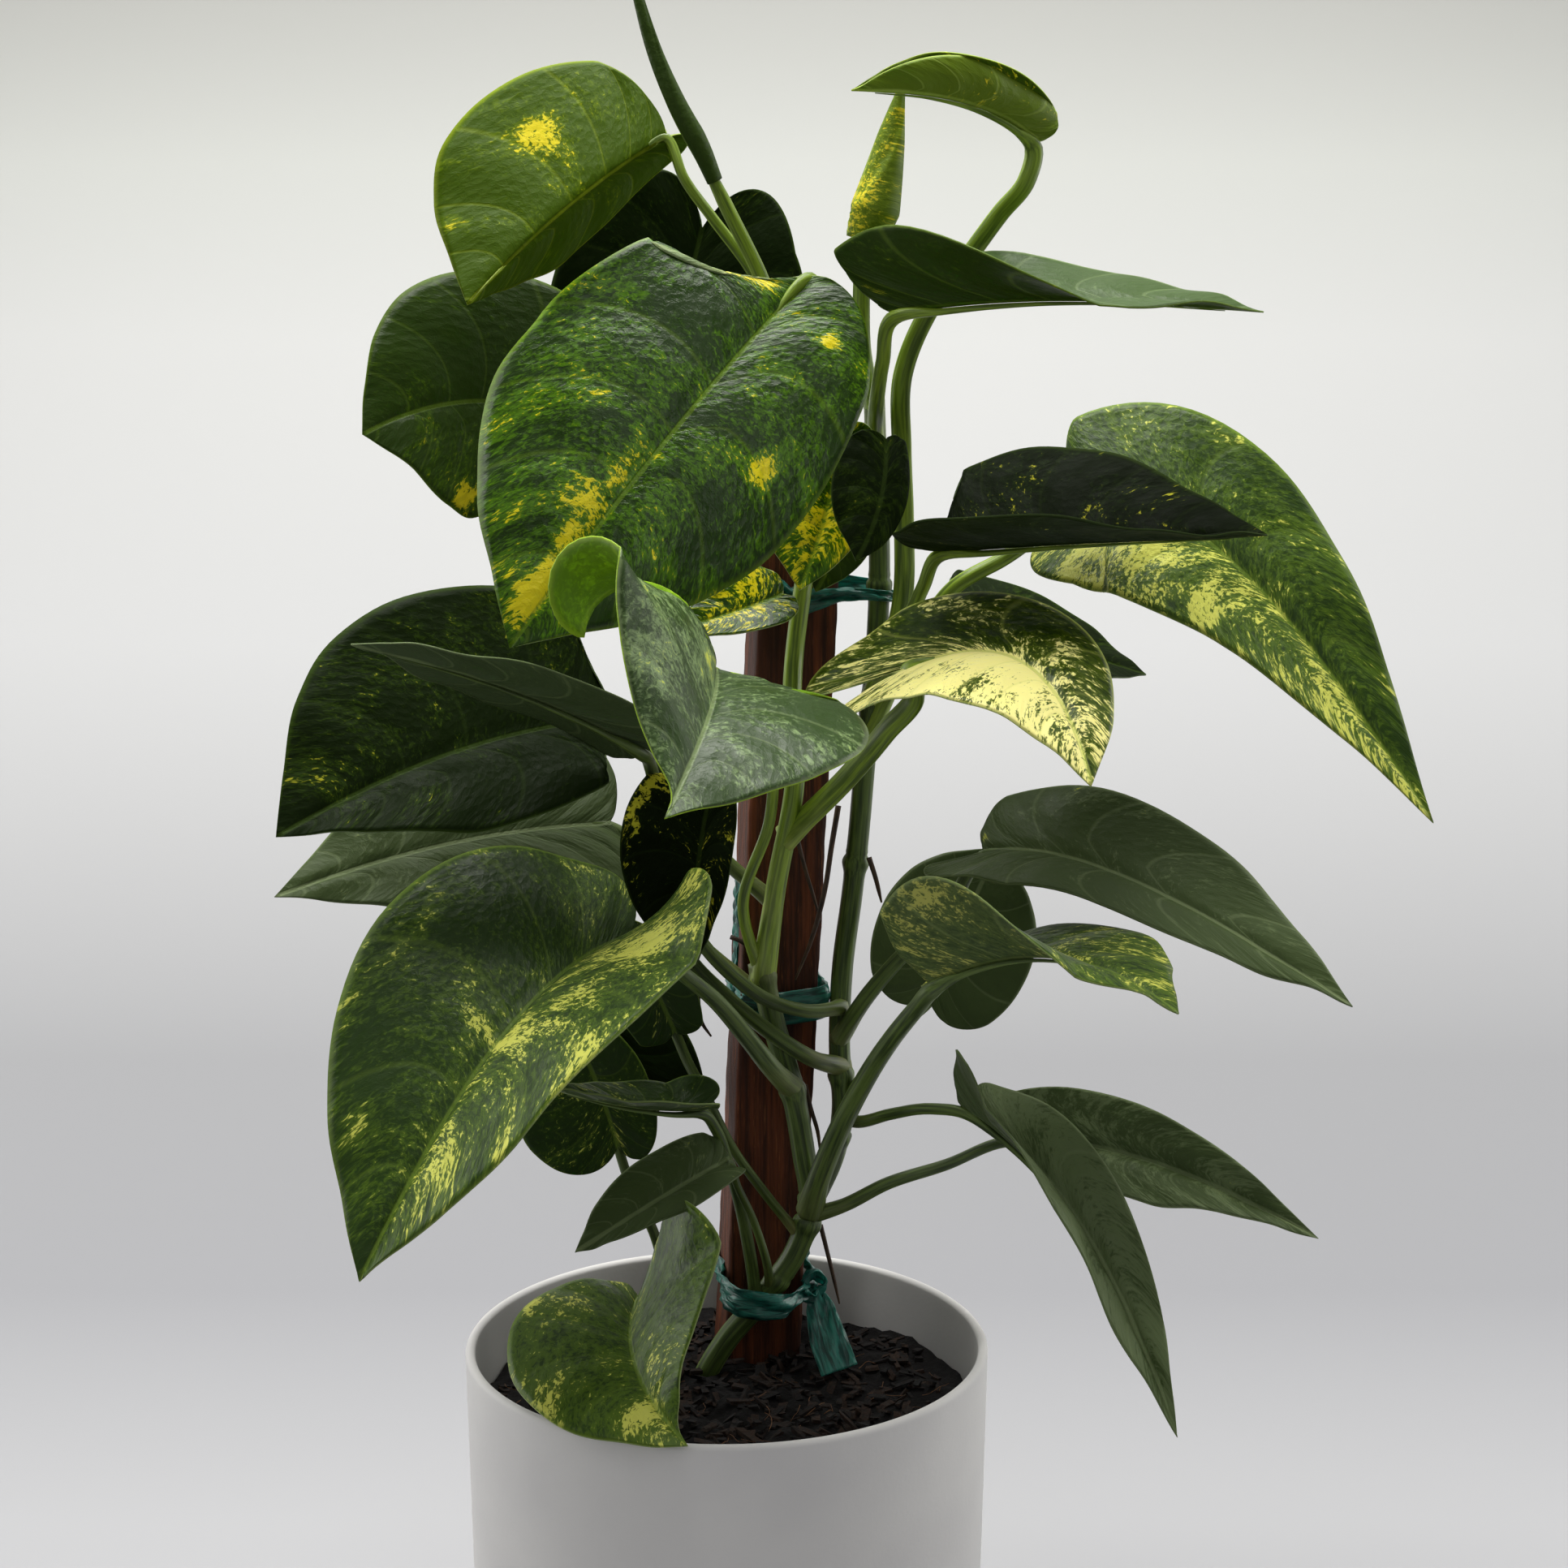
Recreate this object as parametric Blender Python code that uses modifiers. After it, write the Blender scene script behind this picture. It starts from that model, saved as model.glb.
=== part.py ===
"""A potted marbled pothos that climbs a square cedar stake.

All design values are in millimetres and degrees, and meshes are written in metres. The origin is the
centre of the pot's underside, +Z is up, and the front of the plant faces -Y.

Each leaf blade is a thin shell. Its midrib is a curve from the foot through a middle point to the tip,
and a heart-shaped outline is laid along it, half a leaf on each side. Each half may rise or fall from
the midrib by a fold angle and bend further by a curl angle. Stalks and climbing stems are round tubes
along smooth curves, and the end of a stalk is cut to fit round the stem it grows from.
"""
import bmesh
import bpy
import numpy as np

MM = 0.001

# Pot
POT_HEIGHT = 155.0
POT_RIM_RADIUS = 80.0
POT_FOOT_RADIUS = 77.0
POT_WALL = 3.0
POT_FLOOR = 5.0
POT_EDGE = 1.2
POT_STEPS = 40

# Soil
SOIL_TOP = 135.5
GAP = 0.3

# Stake: the foot stands in the soil and the stake leans a little to the right
STAKE_WIDTH = 25.0
STAKE_TURN = 9.0
STAKE_FOOT = (7.3, 46.0, 35.0)
STAKE_HEAD = (21.0, 46.0, 400.0)

# Plant ties, cut from a soft tape
TAPE_WIDTH = 11.5
TAPE_THICK = 0.6

# Leaves and tubes
LEAF_THICK = 0.8
LEAF_ROWS = 9
LEAF_COLUMNS = 3
ARC_NODES, ARC_WEIGHTS = np.polynomial.legendre.leggauss(6)
TUBE_STEP = 7.0
ROLL_REACH = 0.45

# Half outlines: distance along the midrib, then distance from it, both as shares of the leaf
SLIM_OUTLINE = ((0.0, 0.0), (-0.07, 0.10), (-0.13, 0.32), (-0.11, 0.58), (0.00, 0.83), (0.20, 0.99),
                (0.42, 0.93), (0.63, 0.68), (0.81, 0.36), (0.93, 0.12), (1.0, 0.0))
FULL_OUTLINE = ((0.0, 0.0), (-0.06, 0.10), (-0.11, 0.30), (-0.09, 0.56), (0.02, 0.81), (0.22, 0.97),
                (0.42, 0.99), (0.62, 0.88), (0.79, 0.63), (0.91, 0.29), (1.0, 0.0))

COLOURS = {
    "leaf_dark": (0.045, 0.110, 0.035),
    "leaf_green": (0.110, 0.230, 0.050),
    "leaf_lit": (0.260, 0.420, 0.060),
    "leaf_grey": (0.190, 0.270, 0.140),
    "leaf_marbled": (0.330, 0.420, 0.120),
    "leaf_gold": (0.620, 0.600, 0.180),
    "stalk": (0.210, 0.300, 0.090),
    "root": (0.090, 0.055, 0.035),
    "pot": (0.780, 0.770, 0.750),
    "soil": (0.025, 0.016, 0.012),
    "stake": (0.240, 0.100, 0.050),
    "tape": (0.030, 0.260, 0.220),
}


def leaf(colour, base, mid, tip, face, half, fold=(10, 10), curl=(0, 0), full=0.7, lobe=(1.0, 1.0),
         sweep=(0.0, 0.0), relax=(0.0, 0.0), twist=0.0, cup=(0, 0), crease=(1, 1), roll=(0, 0)):
    """Design values of one leaf; pairs are the left and right half, seen from above towards the tip."""
    return {"colour": colour, "base": base, "mid": mid, "tip": tip, "face": face, "half": half, "fold": fold,
            "curl": curl, "full": full, "lobe": lobe, "sweep": sweep, "relax": relax, "twist": twist,
            "cup": cup, "crease": crease, "roll": roll}


LEAVES = {
    "leaf_top_left": leaf("leaf_lit", (-17, 30, 517), (-46, 18, 496), (-74, 4, 468), (-0.35, -0.9, 0.3),
                          (14, 44), fold=(-70, 8), lobe=(1.0, 0.4), sweep=(0.3, 0.05), full=(0.9, 1.2)),
    "leaf_back_round": leaf("leaf_dark", (-8, 72, 492), (-18, 71, 450), (-28, 67, 398), (-0.05, -0.95, 0.3),
                            (40, 42), fold=(8, 8), lobe=(1.8, 1.6), full=1.0),
    "leaf_front_great": leaf("leaf_gold", (25, -22, 476), (-16, -44, 430), (-58, -50, 375),
                             (-0.05, -0.9, 0.35), (44, 54), fold=(8, 5), curl=(-25, -25), lobe=(0.3, -0.8),
                             sweep=(0.22, 0.25), full=(0.8, 0.9), crease=(1, 6), roll=(0, 190)),
    "leaf_left_upper": leaf("leaf_green", (-42, 34, 432), (-74, 22, 440), (-105, 2, 431),
                            (-0.2, -0.95, 0.2), (32, 42), fold=(5, 5), curl=(-15, -20), lobe=(0.5, 0.5),
                            sweep=(0.1, 0.1), full=(2.0, 0.9)),
    "leaf_inner_marbled": leaf("leaf_gold", (34, 8, 430), (30, 4, 409), (22, -3, 386), (0, -1, 0.2),
    (14, 26)),
    "leaf_inner_shaded": leaf("leaf_green", (38, 28, 424), (35, 26, 402), (27, 22, 383), (0.1, -1, 0.2),
                              (12, 20)),
    "leaf_inner_low": leaf("leaf_gold", (17, 6, 384), (5, 1, 380), (-16, -5, 374), (0, -0.8, 0.6), (10, 12)),
    "leaf_inner_dark": leaf("leaf_dark", (47, -4, 430), (45, -12, 412), (38, -18, 396), (0.15, -0.95, 0.3),
                            (8, 15), fold=(-15, -10), lobe=(0.3, 0.6), full=1.0),
    "leaf_top_right": leaf("leaf_lit", (90, 2, 514), (68, -12, 524), (36, -24, 526), (0, -0.1, 1),
                           (13, 14), fold=(55, 55), curl=(80, 80), lobe=(0.3, 0.3), full=1.0),
    "leaf_right_blade": leaf("leaf_grey", (48, -12, 466), (96, -18, 470), (154, -8, 466), (0, 0, 1),
                             (28, 25), fold=(32, 84), curl=(0, -15), relax=(0.5, 1.8), sweep=(0.0, -0.2),
                             lobe=(0.6, 0.5), full=(1.0, 0.2)),
    "leaf_right_drooping": leaf("leaf_marbled", (112, 38, 409), (154, 26, 391), (211, 2, 316),
                                (0.25, -0.85, 0.5), (37, 42), fold=(8, 10), full=(0.2, 0.0),
                                sweep=(0.0, -0.2), lobe=(0.6, 2.0)),
    "leaf_right_dark": leaf("leaf_dark", (62, 5, 397), (105, -8, 401), (154, -25, 404), (0, -0.25, 0.97),
                            (40, 34), fold=(32, 36), relax=(0.4, 0.4), lobe=(-0.2, 0.9), sweep=(0.1, 0.0),
                            full=0.4),
    "leaf_right_shaded": leaf("leaf_dark", (70, 54, 377), (99, 56, 365), (132, 58, 353), (0, -0.4, 0.92),
                              (20, 26), lobe=(0.3, 0.3)),
    "leaf_front_gold": leaf("leaf_gold", (52, -12, 364), (85, -34, 369), (101, -65, 339),
                            (0.1, -0.35, 0.93), (28, 34), fold=(30, -8), relax=(1.2, 1.2), lobe=(2.6, 1.6),
                            sweep=(-0.2, 0.0), full=(0.5, 0.7)),
    "leaf_front_grey": leaf("leaf_grey", (-1, -63, 371), (-2, -100, 363), (-12, -133, 343), (0, -0.2, 0.97),
                            (43, 61), fold=(-12, 88), relax=(0.0, 0.6), curl=(-12, 0), crease=(1, 1.3),
                            roll=(0, -185), lobe=(-0.5, -1.0), sweep=(0.0, -0.1), full=(0.2, -0.7)),
    "leaf_left_dark": leaf("leaf_dark", (-31, 5, 347), (-76, -22, 342), (-124, -50, 322),
                           (-0.15, -0.95, 0.3), (29, 48), fold=(15, 5), lobe=(-0.5, -0.4),
                           sweep=(0.2, 0.15), full=(0.4, 1.1)),
    "leaf_left_edge": leaf("leaf_grey", (-24, -17, 342), (-58, -44, 363), (-99, -66, 378), (0, 0.3, 1),
                           (14, 14), fold=(20, -10), lobe=(0.3, 0.3)),
    "leaf_left_under": leaf("leaf_dark", (-36, 24, 312), (-84, 6, 309), (-132, -14, 297), (-0.1, -0.8, 0.6),
                            (30, 34), fold=(0, 5), lobe=(0.3, 0.3), full=0.0),
    "leaf_left_marbled": leaf("leaf_marbled", (-28, -20, 287), (-62, -56, 266), (-99, -82, 204),
                              (-0.25, -0.85, 0.45), (46, 53), fold=(32, 5), lobe=(1.2, 1.3),
                              sweep=(0.0, 0.0), full=0.8, cup=(50, 0)),
    "leaf_middle_hanging": leaf("leaf_marbled", (-4, -6, 328), (-8, -12, 303), (-9, -16, 276),
    (-0.1, -1, 0.2),
                                (12, 24), fold=(30, 5), lobe=(0.0, 0.3)),
    "leaf_low_back": leaf("leaf_marbled", (-35, 30, 207), (-43, 34, 230), (-54, 38, 252), (0, -1, 0.3),
                          (28, 16), fold=(5, 5)),
    "leaf_low_narrow": leaf("leaf_marbled", (-7, -5, 230), (-27, -16, 234), (-50, -28, 243), (0, 0.1, 1),
                            (14, 14), fold=(15, 25), lobe=(0.3, 1.2), cup=(0, 60)),
    "leaf_low_grey": leaf("leaf_grey", (1, -3.5, 214), (-19, -23, 208), (-43, -42, 198), (-0.2, -0.7, 0.7),
                          (9, 15), fold=(5, 5), lobe=(-0.5, 0.3), full=0.8),
    "leaf_pot_rim": leaf("leaf_marbled", (-26, -22, 177), (-25, -58, 170), (-9, -86, 158),
                         (0.1, -0.5, 0.87), (37, 36), fold=(46, -5), lobe=(1.9, 1.2), sweep=(-0.12, 0.0),
                         full=(-0.6, 0.8), cup=(30, 0)),
    "leaf_right_low": leaf("leaf_dark", (77, 0, 308), (118, -13, 303), (182, -30, 268), (0.15, -0.5, 0.86),
                           (29, 20), fold=(10, 4), lobe=(0.2, 2.2), sweep=(0.1, -0.05), full=(1.0, 0.9),
                           cup=(0, 12)),
    "leaf_right_marbled": leaf("leaf_marbled", (60, -30, 275), (94, -50, 288), (126, -68, 276), (0, 0.1, 1),
                               (26, 31), fold=(14, 84), relax=(0.3, 1.45), lobe=(1.0, 0.3),
                               sweep=(0.2, -0.06), full=(2.2, 0.3)),
    "leaf_right_hanging": leaf("leaf_dark", (63, 28, 255), (74, 37, 278), (85, 45, 300), (0, -1, 0.1),
                               (26, 25), fold=(5, 5), lobe=(0.8, 0.8), full=1.0),
    "leaf_right_trailing": leaf("leaf_dark", (71, -10, 232), (103, -36, 206), (130, -60, 149),
                                (0.5, -0.6, 0.6), (17, 20), fold=(38, 30), lobe=(0.2, 0.4),
                                sweep=(0.0, -0.1), twist=50, full=0.3, cup=(0, 60)),
    "leaf_right_outer": leaf("leaf_dark", (86, 20, 212), (130, 20, 206), (185, 20, 180), (0.2, -0.8, 0.6),
                             (17, 18), fold=(22, 22), lobe=(0.0, -0.6), sweep=(0.0, 0.2), full=0.3),
    "leaf_low_middle": leaf("leaf_marbled", (-16, 12, 249), (-27, 10, 272), (-40, 4, 288), (-0.1, -1, 0.1),
                            (14, 12), fold=(5, 5), lobe=(0.3, 0.3)),
    "leaf_low_shade": leaf("leaf_dark", (-22, 50, 214), (-40, 53, 240), (-60, 56, 262), (0, -0.9, 0.4),
                           (24, 20), fold=(5, 5), lobe=(0.3, 0.3)),
}

# Leaves that are still rolled up: a tapering tube from the tip down to the foot
ROLLED = {
    "leaf_top_spear": ("leaf_green", [(-28, 20, 570), (-24, 20, 553), (-20, 21, 540), (-14, 22, 526),
                                      (-5, 25, 510)], 0.8, 3.2),
    "leaf_new_roll": ("leaf_marbled", [(51, -5, 530), (48, -5, 520), (45, -5, 506), (40, -5, 486)], 0.6, 6.0),
}

# Climbing stems, from the soil up: route, radius at the foot, radius at the head
VINES = {
    "vine_left": ([(-12, 25, 118), (-8, 24, 132), (0, 24, 146), (10, 24, 158), (22, 24, 176), (26, 24, 190),
                   (24, 24, 205), (20, 24, 228), (14, 24, 250), (10, 24, 268)], 3.6, 3.6),
    "vine_right": ([(13, 69, 115), (14, 69, 140), (20, 67.5, 160), (28, 60, 180), (34, 46, 200),
                    (36, 37, 217), (35, 37, 238), (36, 42, 262), (39, 45, 285), (41, 44, 305),
                    (43, 44, 330), (46, 45, 360), (47, 45, 390), (46, 43, 415), (45, 42, 440)], 3.4, 3.2),
}

# Leaf stalks that are one piece with their stem: stem, route from the leaf, radius at the leaf and stem
GROWN_STALKS = [
    ("vine_left", [(-27, -19, 286), (-19, -12, 279), (-12, -4, 271), (-3, 4, 261), (6, 8, 249),
                   (13, 11, 239), (20, 24, 228)], 2.2, 3.4),
    ("vine_left", [(-6, -4, 229), (-3, 2, 221), (0, 8, 210), (4, 14, 193), (7, 18, 175), (9, 24, 157)],
                  1.8, 2.2),
    ("vine_left", [(59, -28, 272), (56, -25, 266), (50, -15, 255), (42, 0, 237), (33, 12, 214),
                   (27, 20, 194), (26, 24, 188)], 2.8, 4.0),
    ("vine_left", [(85, 20, 211), (68, 20, 204), (50, 20, 198), (36, 22, 190), (26, 24, 186)], 1.8, 2.4),
    ("vine_right", [(77, 1, 299), (66, 8, 286), (57, 14, 276), (44, 24, 258), (35, 37, 240)], 2.2, 3.0),
    ("vine_right", [(61, 27.5, 252), (55, 27, 248), (46, 28, 235), (36, 37, 218)], 2.0, 2.4),
    ("vine_right", [(69, -8, 230), (63, -6, 230), (50, 8, 224), (42, 20, 218), (36, 37, 214)], 1.8, 2.2),
]

# Leaf stalks of their own: route from the leaf, radius at the leaf and foot, and the stems the foot fits
STALKS = {
    "stalk_top_left": ([(-15, 28, 512), (-12, 29, 505), (-4, 35, 494), (8, 41, 478), (22, 47, 440),
                        (34, 49, 414), (46, 44, 402)], 1.6, 2.3, ("vine_right",)),
    "stalk_top_spear": ([(-5, 25, 508), (2, 28, 494), (10, 31, 478), (24, 37, 438), (36, 40, 424),
                         (46, 43, 416)], 2.3, 2.7, ("vine_right",)),
    "stalk_new_roll": ([(40, -4, 484), (40, 8, 468), (41, 24, 454), (45, 42, 437)], 2.5, 2.6,
                       ("vine_right",)),
    "stalk_front_great": ([(26, -20, 474), (30, -11, 463), (32, 5, 448), (31, 16, 426), (24, 18, 390),
                           (20, 14, 352), (21, 14, 330), (15, 20, 292), (11, 24, 262)], 2.2, 3.0,
                          ("vine_left",)),
    "stalk_top_right": ([(90, 2, 513), (87, 2, 503), (80, 7, 494), (70, 12, 480), (60, 16, 466),
                         (53, 21, 448), (53, 27, 426), (54, 30, 404), (54, 34, 380), (45, 44, 346)],
                        2.4, 2.9, ("vine_right",)),
    "stalk_right_blade": ([(48, -11, 464), (46, -4, 452), (45, 10, 442), (45, 28, 433), (46, 43, 424)],
                          2.2, 2.6, ("vine_right",)),
    "stalk_right_drooping": ([(94, 40, 397), (84, 38, 391), (70, 37, 383), (58, 40, 365), (43, 44, 334)],
                             2.4, 2.8, ("vine_right", "stalk_top_right")),
    "stalk_right_dark": ([(60, 7, 393), (59, 10, 386), (56, 17, 378), (48, 30, 364), (45, 45, 358)],
                         2.2, 2.4, ("vine_right", "stalk_top_right")),
    "stalk_front_gold": ([(54, -10, 362), (56, -7, 356), (48, 0, 344), (36, 8, 328), (17.6, 17, 308)],
                         2.5, 2.6, ("stalk_front_great",)),
    "stalk_front_grey": ([(0, -61, 369), (7, -38, 358), (14, -8, 338), (13, 8, 315), (5, 16, 288),
                          (11, 24, 262)], 1.6, 1.8, ("vine_left", "stalk_front_great")),
    "stalk_left_dark": ([(-30, 7, 345), (-22, 12, 335), (-14, 20, 320), (-4, 24, 304), (14, 21, 288)],
                        2.2, 2.4, ("stalk_front_great",)),
    "stalk_left_edge": ([(-23, -12, 338), (-22, -2, 334), (-20, 7, 320), (-18, 12, 302), (-11, 14, 282),
                         (0, 14, 268), (12, 14, 259), (24, 19, 254), (34, 30, 252), (35.4, 39.6, 250)],
                        2.0, 2.3, ("vine_right",)),
    "stalk_left_under": ([(-34, 25, 309), (-27, 24, 305), (-20, 20, 292), (-12, 17, 272), (0, 17, 259),
                          (12, 16, 249), (24, 19, 240), (36, 37, 231)], 2.0, 2.8, ("vine_right",)),
    "stalk_left_upper": ([(-44, 38, 430), (-56, 42, 412), (-68, 44, 388), (-68, 46, 360), (-48, 46, 322),
                          (-18, 38, 280), (12, 24, 256)], 2.0, 2.2, ("vine_left",)),
    "stalk_low_back": ([(-35, 30, 205), (-32, 30, 197), (-23, 30, 176), (-19, 32, 150), (-18, 33, 122)],
                       1.6, 1.8, ()),
    "stalk_low_grey": ([(-1, -4, 211), (3, 2, 204), (8, 9, 190), (12, 14, 175), (13, 24, 162)], 1.2, 1.4,
                       ("vine_left",)),
    "stalk_pot_rim": ([(-25, -20, 177), (-21, -10, 168), (-17, 4, 152), (-18, 14, 138), (-18, 18, 122)],
                      1.6, 2.0, ()),
    "stalk_low_middle": ([(-16, 12, 247), (-12, 11, 240), (-7, 12, 230), (2, 16, 210), (12, 18, 195),
                          (22, 24, 180)], 1.6, 1.5, ("vine_left",)),
}

# A long aerial root that hangs in front of the stake
ROOT_ROUTE = [(34, 20, 318), (32, 19, 306), (30, 20, 292), (26, 22, 276), (21, 26, 262)]
ROOT_RADIUS = 0.9

TUBES_IN_SOIL = ("vine_left", "vine_right", "stalk_low_back", "stalk_pot_rim")

# Ties: height, plan outline of the loop, and an optional loose tail: route, width and the way it is wide
TIES = {
    "tie_top": (380.0, [(8.6, 30.6), (22, 31.5), (49.5, 38.5), (52.5, 45), (49.5, 50.5), (31.6, 62.2),
                        (4.8, 58)],
                None),
    "tie_middle": (252.5, [(4.2, 30.6), (30.9, 34.9), (26.8, 61.8), (0.1, 57.6)],
                   ([(2.2, 44, 250), (2.3, 44, 262), (2.7, 44, 276), (3.0, 44, 290)], 8.0, (-0.16, 0.99, 0))),
    "tie_foot": (160.0, [(27.2, 34.8), (23.3, 61.6), (-3.5, 57.5), (-0.6, 24), (3, 17.5), (9, 14.5),
                         (17.5, 16.5)],
                 ([(27.3, 34.2, 160), (28.5, 29, 154), (31, 22, 145),
                   (34, 16, 137)], 11.0, (0.95, 0.2, 0.25))),
}


def clear_scene():
    """Remove whatever objects are in the file."""
    for item in list(bpy.data.objects):
        bpy.data.objects.remove(item, do_unlink=True)


def material(name, colour, roughness):
    """A plain surface of one colour."""
    surface = bpy.data.materials.new(name)
    surface.use_nodes = True
    shader = surface.node_tree.nodes["Principled BSDF"]
    shader.inputs["Base Color"].default_value = (*COLOURS[colour], 1.0)
    shader.inputs["Roughness"].default_value = roughness
    shader.inputs["Metallic"].default_value = 0.0
    surface.diffuse_color = (*COLOURS[colour], 1.0)
    return surface


def add_mesh(name, corners_mm, faces, collection):
    """A mesh object from corners in millimetres."""
    mesh = bpy.data.meshes.new(name)
    mesh.from_pydata((np.asarray(corners_mm, float) * MM).tolist(), [], faces)
    item = bpy.data.objects.new(name, mesh)
    collection.objects.link(item)
    return item


def add_modifier(item, kind, **settings):
    """A modifier with its settings."""
    modifier = item.modifiers.new(kind.lower(), kind)
    for key, value in settings.items():
        setattr(modifier, key, value)
    return modifier


def smooth_path(points, count):
    """Evenly spaced points on a smooth curve through the given points."""
    knots = np.asarray(points, float)
    chord = np.concatenate([[0.0], np.cumsum(np.linalg.norm(np.diff(knots, axis=0), axis=1))])
    slope = np.gradient(knots, chord, axis=0)
    place = np.linspace(0.0, chord[-1], count)
    first = np.clip(np.searchsorted(chord, place, side="right") - 1, 0, len(knots) - 2)
    span = (chord[first + 1] - chord[first])[:, None]
    t = (place - chord[first])[:, None] / span
    return ((2*t**3 - 3*t**2 + 1) * knots[first] + (t**3 - 2*t**2 + t) * span * slope[first]
            + (3*t**2 - 2*t**3) * knots[first + 1] + (t**3 - t**2) * span * slope[first + 1])


def unit(vectors):
    """Vectors of length one."""
    return vectors / np.linalg.norm(vectors, axis=-1, keepdims=True)


def bend_leaf(spec, along, across):
    """Carry flat leaf points into space.

    along is the share of the midrib from foot to tip, and across is the share of the half width, with
    the left half negative. A half follows an arc whose length is its width: at share x of the width it
    has turned to fold + curl*x, and over the part near the foot also by roll*x**crease.
    """
    base, mid, tip, face = (np.array(spec[key], float) for key in ("base", "mid", "tip", "face"))
    handle = 2*mid - (base + tip)/2
    t = np.maximum(along, 0.0)[..., None]
    behind = np.minimum(along, 0.0)[..., None]
    spine = (1-t)**2*base + 2*t*(1-t)*handle + t**2*tip + behind*2*(handle-base)
    tangent = unit(2*(1-t)*(handle-base) + 2*t*(tip-handle))
    chord = unit(tip - base)
    upright = unit(face - (face @ chord)*chord)
    turn = np.cross(chord, tangent)
    cosine = (tangent @ chord)[..., None]
    normal = upright*cosine + np.cross(turn, upright) + turn*(turn @ upright)[..., None]/(1 + cosine)
    side = np.cross(tangent, normal)
    roll = np.radians(spec["twist"])*(along - 0.5)[..., None]
    side, normal = side*np.cos(roll) - normal*np.sin(roll), normal*np.cos(roll) + side*np.sin(roll)

    left = across < 0
    share = np.abs(across)
    half = np.where(left, *spec["half"])
    fold = np.radians(np.where(left, *spec["fold"]))*np.clip(1 - np.where(left, *spec["relax"])*along, 0, 1)
    fold = fold + np.radians(np.where(left, *spec["cup"]))*np.clip((0.15 - along)/0.3, 0, 1)
    curl = np.radians(np.where(left, *spec["curl"]))
    roll_over = np.radians(np.where(left, *spec["roll"]))*np.clip(1 - along/ROLL_REACH, 0, 1)
    crease = np.where(left, *spec["crease"])[..., None]
    place = share[..., None]*(ARC_NODES + 1)/2
    angle = fold[..., None] + curl[..., None]*place + roll_over[..., None]*place**crease
    out = np.where(left, -half, half)*share*(np.cos(angle)*ARC_WEIGHTS/2).sum(-1)
    rise = half*share*(np.sin(angle)*ARC_WEIGHTS/2).sum(-1)
    return spine + side*out[..., None] + normal*rise[..., None]


def leaf_half(spec, side, rows, columns):
    """Points of one half, from the midrib (column 0) to the margin, foot (row 0) to tip."""
    full = np.broadcast_to(spec["full"], 2)[side]
    outline = np.array(SLIM_OUTLINE)*(1 - full) + np.array(FULL_OUTLINE)*full
    edge = smooth_path(outline, rows)
    edge[0] = (0.0, 0.0)
    edge[-1] = (1.0, 0.0)
    reach = np.where(edge[:, 0] < 0, edge[:, 0]*spec["lobe"][side], edge[:, 0])
    reach = reach + spec["sweep"][side]*edge[:, 1]**2*(1 - np.maximum(edge[:, 0], 0.0))
    root = np.linspace(0, 1, rows)**1.35
    share = np.linspace(0, 1, columns + 1)
    along = root[:, None]*(1 - share) + reach[:, None]*share
    across = np.maximum(edge[:, 1][:, None]*share, 1e-9)*(1 if side else -1)
    return bend_leaf(spec, along, across)


def leaf_surface(spec, rows, columns):
    """Corners and faces of the open leaf surface, upper face outwards."""
    halves = [leaf_half(spec, side, rows, columns) for side in (0, 1)]
    corners = [halves[1][row, 0] for row in range(rows)]
    faces = []
    for side, half in enumerate(halves):
        index = np.zeros((rows, columns + 1), int)
        index[:, 0] = range(rows)
        index[0, :] = 0
        index[-1, :] = rows - 1
        for row in range(1, rows - 1):
            index[row, 1:] = range(len(corners), len(corners) + columns)
            corners.extend(half[row, 1:])
        for row in range(rows - 1):
            for column in range(columns):
                ring = [index[row, column], index[row, column + 1], index[row + 1, column + 1],
                        index[row + 1, column]]
                ring = list(dict.fromkeys(int(i) for i in ring))
                faces.append(ring if side else ring[::-1])
    return corners, faces


def add_leaf(name, spec, collection):
    """A leaf blade: the open surface given its thickness."""
    corners, faces = leaf_surface(spec, LEAF_ROWS, LEAF_COLUMNS)
    item = add_mesh(name, corners, faces, collection)
    add_modifier(item, "TRIANGULATE")
    add_modifier(item, "SOLIDIFY", thickness=LEAF_THICK*MM, offset=0.0)
    item.data.materials.append(material(name, spec["colour"], 0.4))
    return item


def add_tube(name, route, start_radius, end_radius, collection, grow=0.0, resolution=1):
    """A round tube with closed ends along a smooth route, as a mesh."""
    knots = np.asarray(route, float)
    length = np.linalg.norm(np.diff(knots, axis=0), axis=1).sum()
    path = smooth_path(knots, max(4, int(round(length/TUBE_STEP)) + 1))
    curve = bpy.data.curves.new(name, "CURVE")
    curve.dimensions = "3D"
    curve.bevel_depth = MM
    curve.bevel_resolution = resolution
    curve.use_fill_caps = True
    curve.resolution_u = 1
    curve.render_resolution_u = 0
    spline = curve.splines.new("POLY")
    spline.points.add(len(path) - 1)
    for point, place, radius in zip(spline.points, path, np.linspace(start_radius, end_radius, len(path))):
        point.co = (*(place*MM), 1.0)
        point.radius = radius + grow
    wire = bpy.data.objects.new(name + "_wire", curve)
    collection.objects.link(wire)
    bpy.context.view_layer.update()
    mesh = bpy.data.meshes.new_from_object(wire.evaluated_get(bpy.context.evaluated_depsgraph_get()))
    bpy.data.objects.remove(wire)
    shape = bmesh.new()
    shape.from_mesh(mesh)
    bmesh.ops.remove_doubles(shape, verts=shape.verts, dist=0.01*MM)
    bmesh.ops.recalc_face_normals(shape, faces=shape.faces)
    shape.to_mesh(mesh)
    shape.free()
    mesh.name = name
    item = bpy.data.objects.new(name, mesh)
    collection.objects.link(item)
    return item


def combine(item, other, operation):
    """Join another solid to an item, or cut it away."""
    add_modifier(item, "BOOLEAN", operation=operation, solver="EXACT", object=other)


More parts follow.
